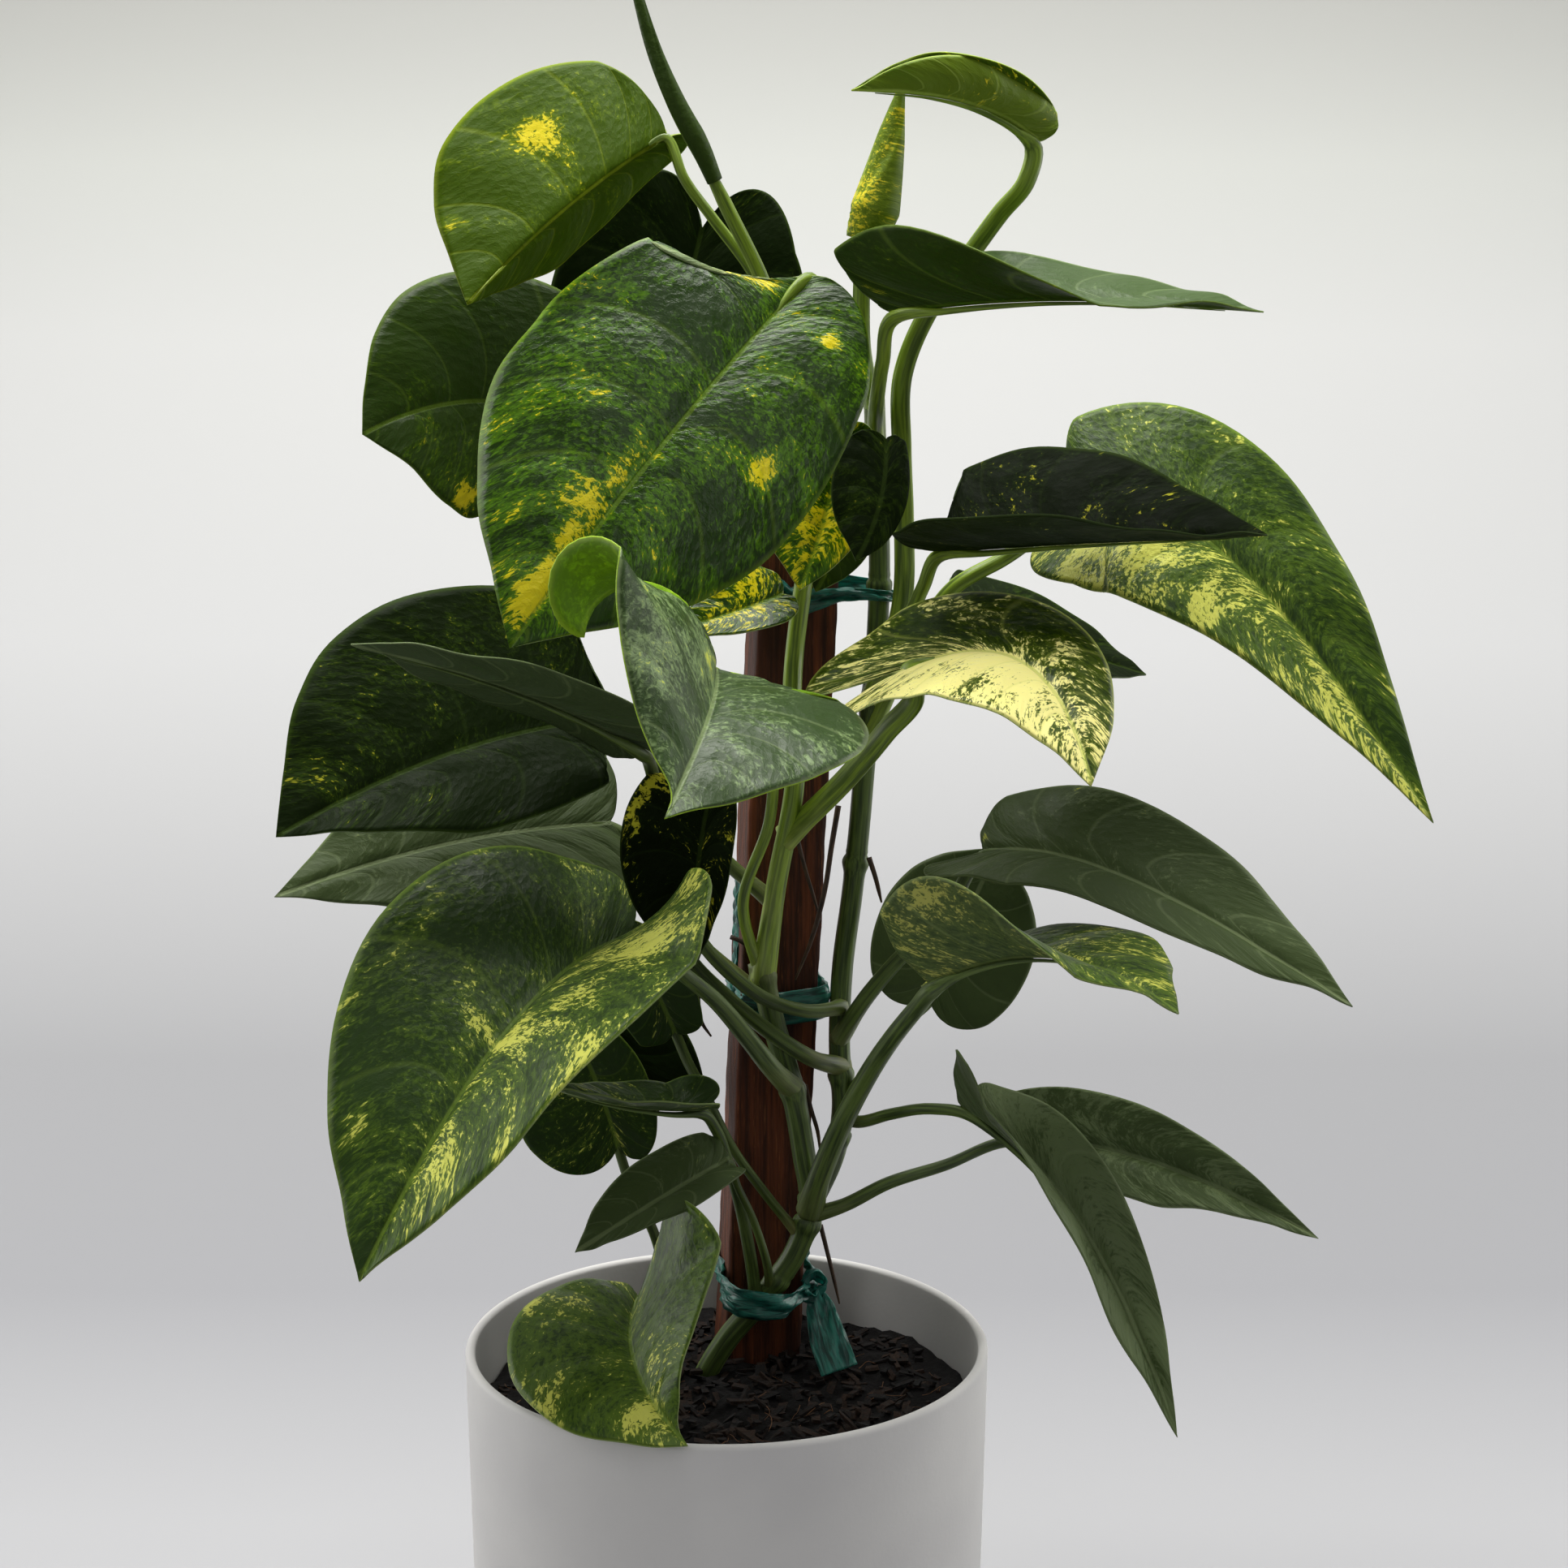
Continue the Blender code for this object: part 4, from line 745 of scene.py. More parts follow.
# Stalks of their own, each named after its leaf: route from the leaf, radius at the leaf and foot
STALKS = {
    "stalk_top_left": ([(-15, 28, 512), (-12, 29, 505), (-4, 35, 494), (8, 41, 478), (22, 47, 440),
                        (34, 49, 414), (46, 44, 402)], 1.6, 2.3),
    "stalk_top_spear": ([(-5, 25, 508), (2, 28, 494), (10, 31, 478), (24, 37, 438), (36, 40, 424),
                         (46, 43, 416)], 2.3, 2.7),
    "stalk_new_roll": ([(40, -4, 484), (40, 8, 468), (41, 24, 454), (45, 42, 437)], 2.5, 2.6),
    "stalk_front_great": ([(26, -20, 474), (30, -11, 463), (32, 5, 448), (31, 16, 426), (24, 18, 390),
                           (20, 14, 352), (21, 14, 330), (15, 20, 292), (11, 24, 262)], 2.2, 3.0),
    "stalk_top_right": ([(90, 2, 513), (87, 2, 503), (80, 7, 494), (70, 12, 480), (60, 16, 466),
                         (53, 21, 448), (53, 27, 426), (54, 30, 404), (54, 34, 380), (45, 44, 346)],
                        2.4, 2.9),
    "stalk_right_blade": ([(48, -11, 464), (46, -4, 452), (45, 10, 442), (45, 28, 433), (46, 43, 424)],
                          2.2, 2.6),
    "stalk_right_drooping": ([(94, 40, 397), (84, 38, 391), (70, 37, 383), (58, 40, 365), (43, 44, 334)],
                             2.4, 2.8),
    "stalk_right_dark": ([(60, 7, 393), (59, 10, 386), (56, 17, 378), (48, 30, 364), (45, 45, 358)],
                         2.2, 2.4),
    "stalk_front_gold": ([(54, -10, 362), (56, -7, 356), (48, 0, 344), (36, 8, 328), (17.6, 17, 308)],
                         2.5, 2.6),
    "stalk_front_grey": ([(0, -61, 369), (7, -38, 358), (14, -8, 338), (13, 8, 315), (5, 16, 288),
                          (11, 24, 262)], 1.6, 1.8),
    "stalk_left_dark": ([(-30, 7, 345), (-22, 12, 335), (-14, 20, 320), (-4, 24, 304), (14, 21, 288)],
                        2.2, 2.4),
    "stalk_left_edge": ([(-23, -12, 338), (-22, -2, 334), (-20, 7, 320), (-18, 12, 302), (-11, 14, 282),
                         (0, 14, 268), (12, 14, 259), (24, 19, 254), (34, 30, 252), (35.4, 39.6, 250)],
                        2.0, 2.3),
    "stalk_left_under": ([(-34, 25, 309), (-27, 24, 305), (-20, 20, 292), (-12, 17, 272), (0, 17, 259),
                          (12, 16, 249), (24, 19, 240), (36, 37, 231)], 2.0, 2.8),
    "stalk_left_upper": ([(-44, 38, 430), (-56, 42, 412), (-68, 44, 388), (-68, 46, 360), (-48, 46, 322),
                          (-18, 38, 280), (12, 24, 256)], 2.0, 2.2),
    "stalk_low_back": ([(-35, 30, 205), (-32, 30, 197), (-23, 30, 176), (-19, 32, 150), (-18, 33, 122)],
                       1.6, 1.8),
    "stalk_low_grey": ([(-1, -4, 211), (3, 2, 204), (8, 9, 190), (12, 14, 175), (13, 24, 162)], 1.2, 1.4),
    "stalk_pot_rim": ([(-25, -20, 177), (-21, -10, 168), (-17, 4, 152), (-18, 14, 138), (-18, 18, 122)],
                      1.6, 2.0),
    "stalk_low_middle": ([(-16, 12, 247), (-12, 11, 240), (-7, 12, 230), (2, 16, 210), (12, 18, 195),
                          (22, 24, 180)], 1.6, 1.5),
}

# %% Rolled leaves, ties and roots: where they run
ROLLED = {
    # name: finish, slot, gold, route from the tip down, radius at the tip and foot
    "leaf_top_spear": ("green", "leaf_green", 0.1,
                       [(-28, 20, 570), (-24, 20, 553), (-20, 21, 540), (-14, 22, 526), (-6, 24.5, 511),
                        (-3, 26, 504)], 0.8, 3.3),
    "leaf_new_roll": ("lit", "leaf_marbled", 0.45,
                      [(51, -5, 530), (48.5, -5, 519), (45.5, -5, 505), (41, -5, 486)], 0.6, 7.4),
}
# tie: strips of (route, (share, width) knots, the way the strip is wide)
TAPES = {
    "tie_top": [
        ([(8.6, 30.8, 380), (22, 31.5, 379), (36, 34, 381), (49.5, 38.5, 380), (52.5, 45, 379),
          (49.5, 50.5, 380), (31.6, 62.2, 381), (4.8, 58, 380), (6, 42, 380), (8.6, 30.8, 380)],
         [(0, 7), (0.1, 9), (0.2, 4), (0.35, 3), (0.6, 9), (1, 7)], (0, 0, 1)),
        ([(20, 30, 381), (15, 27, 384), (12, 26, 380), (17, 27, 376), (24, 28, 379)],
         [(0, 3), (0.4, 5), (1, 2)], (0, -0.4, 1)),
    ],
    "tie_middle": [
        ([(4.2, 30.6, 252), (17, 32.4, 251), (30.9, 34.9, 253), (29.5, 48, 252), (26.8, 61.8, 252),
          (14, 59.5, 252), (0.1, 57.6, 252), (2, 44, 252), (4.2, 30.6, 252)],
         [(0, 8), (0.15, 11), (0.3, 10), (0.7, 9), (1, 8)], (0, 0, 1)),
        ([(2.2, 44, 250), (2.3, 44, 262), (2.7, 44, 276), (3.0, 44, 290)], [(0, 6), (0.5, 8), (1, 7)],
         (-0.16, 0.99, 0)),
    ],
    "tie_foot": [
        ([(27.2, 34.8, 160), (25.5, 48, 160), (23.3, 61.6, 160), (10, 59.5, 160), (-3.5, 57.5, 160),
          (-2.5, 42, 160), (-0.6, 24, 160), (3, 17.5, 160), (9, 14.5, 160), (17.5, 16.5, 159),
          (23, 25, 160), (27.2, 34.8, 160)], [(0, 6), (0.2, 9), (0.55, 9), (0.75, 10), (0.9, 6), (1, 5)],
         (0, 0, 1)),
        ([(24, 28, 162), (27, 30, 165), (30, 31, 161), (27, 29, 157), (23, 27, 160)],
         [(0, 4), (0.5, 6), (1, 4)], (0, -0.5, 1)),
        ([(27.3, 31, 160), (29, 28, 154), (31.5, 22, 146), (35, 16, 138)],
         [(0, 4), (0.25, 9), (0.6, 12), (1, 12)], (0.95, 0.2, 0.25)),
    ],
}
ROOTS = [
    # route and radius
    ([(34, 20, 318), (32, 19, 306), (30, 20, 292), (26, 22, 276), (21, 26, 262)], 0.9),
    ([(21, 31, 308), (24, 31, 296), (27, 31, 286), (29, 31, 279)], 0.7),
    ([(29, 27, 182), (31, 26, 174), (33, 25, 166), (35, 24, 157)], 0.8),
    ([(-8, 18, 268), (-9, 17, 258), (-8, 17, 251), (-5, 18, 246)], 0.9),
    ([(44, 39, 298), (46, 38, 292), (48, 37, 284)], 0.9),
    ([(1, 28, 275), (4, 27, 274), (7, 28, 271)], 0.8),
    ([(24, 30, 227), (26, 29.5, 219), (28, 30, 212), (29, 31, 204)], 0.8),
]

# %% [markdown]
# ## Stalks and climbing stems
# A leaf stalk is a juicy green rod, a little channelled on its upper side, that swells where it meets the
# stem and runs on under the blade as the raised midrib. It is a ring of points carried along a smooth
# path. The climbing stems are made the same way, with a swollen joint and a scar ring where each stalk
# leaves them.

# %% Rods along a path
ROD_SIDES = 20
ROD_STEP = 1.6
CHANNEL_WIDTH = 0.6
PART_STEP = (0.05, 0.03, 0.02)
# half widths of a swollen joint and of the scar beside it, and how far the scar is from the joint, in mm
JOINT_WIDTH, SCAR_WIDTH, SCAR_PLACE = 2.6, 0.5, 2.2


def rod(route, radii, channel=0.0, ridges=0.03, flat=0.0, joints=(), sides=ROD_SIDES, step=ROD_STEP):
    """Rings along a smooth route, closed at both ends, with straightened-out coordinates.

    radii are (share of the length, radius) knots. A ring's radius is r(1 + ridges cos 7a) less a channel
    exp(-(a/w)^2) on one side; flat widens it one way and thins it the other. joints are (share, swell).
    """
    knots = np.asarray(route, float)
    length = np.linalg.norm(np.diff(knots, axis=0), axis=1).sum()
    count = max(8, int(length/step))
    path = smooth_path(knots, count)
    share = np.linspace(0, 1, count)
    tangent = unit(np.gradient(path, axis=0))
    reference = np.linalg.svd(path - path.mean(0))[2][2]
    reference = reference*(1.0 if reference[np.argmax(np.abs(reference))] > 0 else -1.0)
    side = unit(np.cross(tangent, reference))
    other = np.cross(tangent, side)
    angle = np.linspace(0, 2*np.pi, sides, endpoint=False)[None, :]
    knot_share, knot_radius = np.array(radii, float).T
    radius = np.interp(share, knot_share, knot_radius)[:, None]
    for place, swell in joints:
        away = (share[:, None] - place)*length
        scar = 0.5*np.exp(-((away - SCAR_PLACE)/SCAR_WIDTH)**2)
        radius = radius*(1 + swell*(np.exp(-(away/JOINT_WIDTH)**2) - scar))
    beside = (angle + np.pi) % (2*np.pi) - np.pi
    ring = radius*(1 + ridges*np.cos(7*angle) - channel*np.exp(-(beside/CHANNEL_WIDTH)**2))
    offset = (side[:, None]*(ring*(1 + flat)*np.cos(angle))[..., None]
              + other[:, None]*(ring*(1 - 0.5*flat)*np.sin(angle))[..., None])
    corners = (path[:, None] + offset).reshape(-1, 3)
    run = (share*length)[:, None]
    straight = np.stack(np.broadcast_arrays(ring*np.cos(angle), ring*np.sin(angle), run), -1)
    corners = np.concatenate([corners, path[:1], path[-1:]])
    straight = np.concatenate([straight.reshape(-1, 3), [[0, 0, 0]], [[0, 0, length]]])
    along = np.concatenate([np.repeat(share, sides), [0, 1]])
    return corners, tube_faces(count, sides), straight*MM, along


def join(parts):
    """Several meshes as one list of corners, faces, straightened coordinates and shares.

    The straightened coordinates of each part are moved on by PART_STEP metres, so patterns don't repeat.
    """
    corners, faces, straight, along = [], [], [], []
    start = 0
    for part_corners, part_faces, part_straight, part_along in parts:
        corners.append(part_corners)
        faces += [[i + start for i in face] for face in part_faces]
        straight.append(part_straight + np.array(PART_STEP)*len(straight))
        along.append(part_along)
        start += len(part_corners)
    return np.concatenate(corners), faces, np.concatenate(straight), np.concatenate(along)


def rod_finish(name, deep, fresh, end, roughness, ridge_mm=0.12, size=(1.1, 1.1, 26.0)):
    """Plant skin on a rod: lengthwise streaks, paler towards its far end, with fine ridges."""
    made, tree, shader = finish(name, IOR=WAX_IOR, Subsurface_Weight=0.06, Subsurface_Radius=(1.0, 1.5, 0.4),
                                Subsurface_Scale=0.0012)
    skin = node(tree, "Attribute", out="Vector", attribute_name="skin")
    along = node(tree, "Attribute", out="Fac", attribute_name="along")
    placed = node(tree, "Mapping", {"Vector": skin, "Scale": per_mm(*size)})
    streak = node(tree, "TexNoise", {"Vector": placed, "Scale": 1.0, "Detail": 3.0, "Roughness": 0.6})
    placed = node(tree, "Mapping", {"Vector": skin, "Scale": per_mm(5, 5, 14)})
    blotch = node(tree, "TexNoise", {"Vector": placed, "Scale": 1.0})
    tip = node(tree, "Math", (blotch, 0.3, along), operation="MULTIPLY_ADD")
    colour = layers(tree, deep, (streak, 0.32, 0.66, 1.0, fresh), (tip, 1.0, 1.28, 0.8, end))
    dull = node(tree, "MapRange", (blotch, 0.3, 0.7, roughness - 0.08, roughness + 0.1), **SMOOTH)
    wire(tree, shader, colour, streak, ridge_mm, dull)
    return made


stalk_skin = rod_finish("petiole_skin", "#485e0e", "#88a22e", "#b0bc64", 0.42)
stem_skin = rod_finish("climbing_stem_skin", "#2b3a16", "#5a6e30", "#7c8450", 0.5)
# a darker copy of the stalk skin for stalks in shade: painted shade
shaded_stalk_skin = rod_finish("shaded_petiole_skin", "#2c3a14", "#55682a", "#8a8850", 0.5)


# %% Stalks
RIB_PLACES = (0.90, 0.66, 0.40, 0.16)
RIB_RADII = (0.15, 0.35, 0.65, 1.0)
# stalks that get the darker skin of painted shade
SHADED_STALKS = ("stalk_left_dark", "stalk_left_edge", "stalk_left_under", "stalk_low_back", "stalk_low_grey",
                 "stalk_low_middle", "stalk_left_upper")
BROAD_STALKS = {"stalk_front_gold": 0.55, "stalk_front_great": 0.25, "stalk_top_right": 0.2}


def rib_route(leaf_name, sink, places=RIB_PLACES):
    """Points under a blade's midrib from near its tip to its foot, sunk below the upper face."""
    grid = blades[leaf_name]
    spacing = np.linspace(0, 1, BLADE_ROWS)**ROW_SPACING
    rows = np.maximum(np.searchsorted(spacing, np.array(places)), 1)
    normal = unit(grid["normal"][rows, BLADE_COLUMNS - 1] + grid["normal"][rows, BLADE_COLUMNS + 1])
    return grid["place"][rows, BLADE_COLUMNS] - normal*np.broadcast_to(sink, len(rows))[:, None]


def stalk_rod(leaf_name, route, leaf_radius, foot_radius, flat=0.0):
    """A stalk that begins as the rib under its blade and ends on its stem, with a swollen neck and foot."""
    route = [tuple(point) for point in route]
    if leaf_name is None:
        knots = [(0, leaf_radius*0.7), (0.1, leaf_radius), (0.92, foot_radius), (1.0, foot_radius*1.25)]
        return rod(route, knots, 0.16, flat=flat)
    rib = rib_route(leaf_name, np.array(RIB_RADII) + 0.3)
    neck_place = rib_route(leaf_name, leaf_radius*0.9, (0.0,))
    full = [tuple(point) for point in rib] + [tuple(neck_place[0])] + route[1:]
    spans = np.linalg.norm(np.diff(np.array(full, float), axis=0), axis=1)
    neck = spans[:len(rib)].sum()/spans.sum()
    knots = [(0, 0.12), (neck*0.3, 0.35), (neck*0.6, 0.65), (neck*0.86, 1.0), (neck, leaf_radius),
             (min(neck*1.15, 0.8), leaf_radius), (0.93, foot_radius), (1.0, foot_radius*1.25)]
    return rod(full, knots, 0.14, flat=flat)


for name, (route, leaf_radius, foot_radius) in STALKS.items():
    leaf_name = name.replace("stalk_", "leaf_")
    carried = leaf_name if leaf_name in blades else None
    flat = BROAD_STALKS.get(name, 0.0)
    corners, faces, straight, along = stalk_rod(carried, route, leaf_radius, foot_radius, flat)
    skin = shaded_stalk_skin if name in SHADED_STALKS else stalk_skin
    marks = {"skin": straight, "along": along}
    add_piece(name + "_rod", corners, faces, [skin], [name], marks)
print("stalks:", len(STALKS))

# %% Climbing stems with the stalks that grow from them
for name, (route, first, last, joints) in VINES.items():
    parts = [rod(route, [(0, first), (1, last)], 0.0, 0.04, joints=joints, sides=24, step=1.0)]
    for stem, leaf_name, stalk_route, leaf_radius, stem_radius in GROWN_STALKS:
        if stem == name:
            parts.append(stalk_rod(leaf_name, stalk_route, leaf_radius, stem_radius*0.95))
    corners, faces, straight, along = join(parts)
    marks = {"skin": straight, "along": along}
    add_piece(name + "_stem", corners, faces, [stem_skin], [name], marks)
print("climbing stems:", len(VINES))

# %% [markdown]
# ## Leaves still rolled up
# A young leaf comes out rolled like a scroll. It is a rod whose radius grows by a fifth in one turn and
# then steps back, so the step shows as the free edge that winds down the roll.

# %% Rolled leaves
SCROLL_SIDES = 40
SCROLL_STEP = 0.18
SCROLL_WINDING = 0.5


def scroll(route, tip_radius, foot_radius):
    """Rings of radius r(0.9 + step*turns from the free edge), with the edge wound along the length."""
    middle_radius = 0.5*(tip_radius + foot_radius)
    radii = [(0, tip_radius), (0.35, middle_radius), (0.8, foot_radius), (1, 0.75*foot_radius)]
    corners, faces, straight, _ = rod(route, radii, 0.0, 0.0, sides=SCROLL_SIDES, step=1.2)
    ring = corners[:-2].reshape(-1, SCROLL_SIDES, 3)
    centre = ring.mean(1, keepdims=True)
    turned_by = SCROLL_WINDING*np.linspace(0, 1, len(ring))[:, None]
    wound = (np.linspace(0, 1, SCROLL_SIDES, endpoint=False)[None, :] - turned_by) % 1.0
    ring = centre + (ring - centre)*(0.9 + SCROLL_STEP*wound)[..., None]
    corners = np.concatenate([ring.reshape(-1, 3), corners[-2:]])
    return corners, faces, straight, np.concatenate([wound.ravel(), [0.5, 0.5]])


for number, (name, (look, slot, gold, route, first, last)) in enumerate(ROLLED.items()):
    corners, faces, straight, edge = scroll(route, first, last)
    zero = np.zeros(len(corners))
    skin = np.stack([straight[:, 0] + straight[:, 1] + 0.004, straight[:, 2], zero + 0.02*number], -1)
    marks = {"skin": skin, "veins": zero + 0.25, "edge": 0.97*edge, "gold": zero + gold, "tone": zero - 0.05}
    add_piece(name + "_roll", corners, faces, [skins[look][1]], [name], marks)
print("rolled leaves:", len(ROLLED))

# %% [markdown]
# ## Pot
# The pot is slip-cast stoneware with a matte off-white glaze. It is one profile turned about the upright
# axis. The glaze hides the clay, so the eye sees almost no pattern: only a faint cloud in the colour, a
# soft wide sheen, and a fine orange-peel dimple of about 1.5 mm.

# %% Pot
POT_TURNS = 160
POT_RADIUS = 80.0
POT_HEIGHT = 155.0
POT_FLOOR = 5.0
POT_HOLLOW = 1.2
LIP_RADIUS = 1.5


def turned(profile, turns=POT_TURNS):
    """Corners and faces of a profile of (radius, height) turned about Z; the two ends lie on the axis."""
    profile = np.asarray(profile, float)
    angle = np.linspace(0, 2*np.pi, turns, endpoint=False)[None, :]
    radius, height = profile[1:-1, 0][:, None], profile[1:-1, 1][:, None]
    ring = np.stack(np.broadcast_arrays(radius*np.cos(angle), radius*np.sin(angle), height), -1)
    corners = np.concatenate([ring.reshape(-1, 3), [[0, 0, profile[0, 1]], [0, 0, profile[-1, 1]]]])
    return corners, tube_faces(len(profile) - 2, turns)


def arc(centre, radius, start, end, count):
    """Points of a circular arc in the profile plane, with angles in degrees."""
    angle = np.radians(np.linspace(start, end, count))
    return np.stack([centre[0] + radius*np.cos(angle), centre[1] + radius*np.sin(angle)], -1)


def pot_glaze():
    """Matte off-white glaze on stoneware: nearly even colour, wide sheen, fine dimples."""
    made, tree, shader = finish("matte_stoneware_glaze", IOR=1.5, Specular_IOR_Level=0.35)
    place = node(tree, "TexCoord", out="Object")
    placed = node(tree, "Mapping", {"Vector": place, "Scale": per_mm(60, 60, 60)})
    cloud = node(tree, "TexNoise", {"Vector": placed, "Scale": 1.0, "Detail": 3.0})
    placed = node(tree, "Mapping", {"Vector": place, "Scale": per_mm(1.5, 1.5, 1.5)})
    peel = node(tree, "TexNoise", {"Vector": placed, "Scale": 1.0})
    dull = node(tree, "MapRange", (cloud, 0.3, 0.7, 0.58, 0.68), **SMOOTH)
    wire(tree, shader, layers(tree, "#d2d0cf", (cloud, 0.35, 0.65, 1.0, "#dad8d6")), peel, 0.05, dull)
    return made


# underside and foot, outer wall, lip, inner wall, inner corner and floor, in mm
pot_profile = np.concatenate([
    [(0, POT_HOLLOW), (66.0, POT_HOLLOW), (66.8, 0.0)],
    arc((75.2, 2.0), 2.0, -90, 0, 6),
    np.linspace((77.2, 3.0), (79.97, POT_HEIGHT - 2.5), 30),
    arc((POT_RADIUS - LIP_RADIUS, POT_HEIGHT - LIP_RADIUS), LIP_RADIUS, 0, 180, 13),
    np.linspace((77.0, POT_HEIGHT - 3.0), (74.2, 12.0), 20),
    arc((69.2, 10.0), 5.0, 0, -90, 6),
    [(0, POT_FLOOR)],
])
pot_corners, pot_faces = turned(pot_profile)
add_piece("pot_body", pot_corners, pot_faces, [pot_glaze()], ["pot"])
print("pot:", len(pot_faces), "faces")

# %% [markdown]
# ## Soil
# Potting mix is dark peat with chips of bark and fine roots. The bed is a height field on a round grid,
# a sum of waves of falling size, and the chips are 950 bent slabs of six faces each, laid on it at
# seeded places.

# %% Soil bed and bark
SOIL_LEVEL = 135.5
SOIL_RADIUS = 75.9
BED_EDGE, BED_FOOT = 112.0, 110.0
# fibres start inside a circle of this radius, and may reach a little further
FIBRE_RADIUS = 68
FIBRE_REACH = 70
CHIPS = 950
FIBRES = 70


def soil_height(x, y):
    """Height of the bed: waves about 58, 19, 9 and 5 mm long that rise 1.4, 0.9, 0.5 and 0.35 mm."""
    height = 1.4*np.sin(x/9.6 + 0.7)*np.cos(y/8.7 - 0.3) + 0.9*np.sin(x/3.7 + y/5.1 + 1.9)
    height = height + 0.5*np.sin(x/1.7 - y/2.3) + 0.35*np.sin(x/0.9 + 1.1)*np.sin(y/0.8 + 2.3)
    return SOIL_LEVEL - 0.6 + height


def soil_bed():
    """Rings of the bed from the middle out, then down the wall and back under to the middle."""
    rings = np.concatenate([np.linspace(0, SOIL_RADIUS, 60)[1:], [SOIL_RADIUS, SOIL_RADIUS - 4]])
    angle = np.linspace(0, 2*np.pi, 140, endpoint=False)[None, :]
    x, y = rings[:, None]*np.cos(angle), rings[:, None]*np.sin(angle)
    z = soil_height(x, y)
    z[-2:] = [[BED_EDGE], [BED_FOOT]]
    middle = [[0, 0, float(soil_height(0.0, 0.0))], [0, 0, BED_FOOT]]
    corners = np.concatenate([np.stack([x, y, z], -1).reshape(-1, 3), middle])
    return corners, [face[::-1] for face in tube_faces(*z.shape)]


def bark_chips(count, seed):
    """Bent slabs: a unit box scaled to length, width and thickness, turned at random, laid on the bed."""
    draw = np.random.default_rng(seed)
    radius = (SOIL_RADIUS - 4)*np.sqrt(draw.uniform(0, 1, count))
    angle = draw.uniform(0, 2*np.pi, count)
    middle = np.stack([radius*np.cos(angle), radius*np.sin(angle)], -1)
    size = [draw.gamma(3.0, 1.1, count) + 1.2, draw.uniform(0.8, 3.0, count), draw.uniform(0.4, 1.4, count)]
    box = np.array([(x, y, z) for x in (-.5, .5) for y in (-.5, .5) for z in (-.5, .5)])
    jitter = draw.uniform(0.7, 1.3, (count, 8, 3))
    corners = box[None]*np.stack(size, -1)[:, None]*jitter
    spin, lean = draw.uniform(0, 2*np.pi, count), draw.normal(0, 0.35, count)
    c, s = np.cos(lean)[:, None], np.sin(lean)[:, None]
    x, z = corners[..., 0]*c - corners[..., 2]*s, corners[..., 0]*s + corners[..., 2]*c
    c, s = np.cos(spin)[:, None], np.sin(spin)[:, None]
    plan = np.stack([x*c - corners[..., 1]*s, x*s + corners[..., 1]*c], -1) + middle[:, None]
    height = soil_height(middle[:, 0], middle[:, 1]) + draw.uniform(0.0, 1.2, count)
    corners = np.concatenate([plan, (z + height[:, None])[..., None]], -1).reshape(-1, 3)
    quads = np.array([(0, 1, 3, 2), (4, 6, 7, 5), (0, 4, 5, 1), (2, 3, 7, 6), (0, 2, 6, 4), (1, 5, 7, 3)])
    faces = (quads[None] + 8*np.arange(count)[:, None, None]).reshape(-1, 4)
    return corners, faces, np.repeat(draw.uniform(0, 1, count), 8)


def soil_fibres(count, seed):
    """Fine bent threads, each a three-sided rod."""
    draw = np.random.default_rng(seed)
    parts = []
    for _ in range(count):
        radius = FIBRE_RADIUS*np.sqrt(draw.uniform())
        angle, heading = draw.uniform(0, 2*np.pi), draw.uniform(0, 2*np.pi)
        x, y = radius*np.cos(angle), radius*np.sin(angle)
        length, bend = draw.uniform(5, 14), draw.normal(0, 0.6)
        places = []
        for step in np.linspace(-0.5, 0.5, 4):
            fibre_x = np.clip(x + length*step*np.cos(heading + bend*step), -FIBRE_REACH, FIBRE_REACH)
            fibre_y = np.clip(y + length*step*np.sin(heading + bend*step), -FIBRE_REACH, FIBRE_REACH)
            shrink = min(1.0, (FIBRE_REACH + 2)/np.hypot(fibre_x, fibre_y))
            fibre_x, fibre_y = fibre_x*shrink, fibre_y*shrink
            height = float(soil_height(fibre_x, fibre_y)) + 0.6 + 1.2*draw.uniform()
            places.append((fibre_x, fibre_y, height))
        parts.append(rod(places, [(0, 0.16), (1, 0.1)], 0, 0, sides=3, step=1.5))
    return join(parts)


def crumb_finish(name, dark, light, rough):
    """Peat, bark or dry root: clumps of two browns, dull, with crumbs of about 2 mm."""
    made, tree, shader = finish(name, Specular_IOR_Level=0.3)
    place = node(tree, "TexCoord", out="Object")
    tone = node(tree, "Attribute", out="Fac", attribute_name="tone")
    placed = node(tree, "Mapping", {"Vector": place, "Scale": per_mm(2.2, 2.2, 2.2)})
    clump = node(tree, "TexNoise", {"Vector": placed, "Scale": 1.0, "Detail": 4.0, "Roughness": 0.65})
    level = node(tree, "Math", (tone, 0.35, clump), operation="MULTIPLY_ADD")
    dull = node(tree, "MapRange", (clump, 0.3, 0.7, rough, rough + 0.15), **SMOOTH)
    wire(tree, shader, layers(tree, dark, (level, 0.5, 0.95, 1.0, light)), clump, 0.8, dull)
    return made


peat = crumb_finish("peat", "#050303", "#150d09", 0.9)
bark = crumb_finish("bark_chip", "#080505", "#2c1e15", 0.8)
root_skin = crumb_finish("fine_root", "#3a2618", "#6b4c34", 0.8)
bed_corners, bed_faces = soil_bed()
add_piece("soil_bed", bed_corners, bed_faces, [peat], ["soil"],
          {"tone": np.zeros(len(bed_corners))})
chip_corners, chip_faces, chip_tone = bark_chips(CHIPS, 11)
chips = add_piece("bark_chips", chip_corners, chip_faces, [bark], marks={"tone": chip_tone})
chips.data.polygons.foreach_set("use_smooth", np.zeros(len(chips.data.polygons), bool))
fibre_corners, fibre_faces, _, _ = soil_fibres(FIBRES, 12)
add_piece("soil_fibres", fibre_corners, fibre_faces, [root_skin],
          marks={"tone": np.ones(len(fibre_corners))})
print("soil:", CHIPS, "chips and", FIBRES, "fibres")

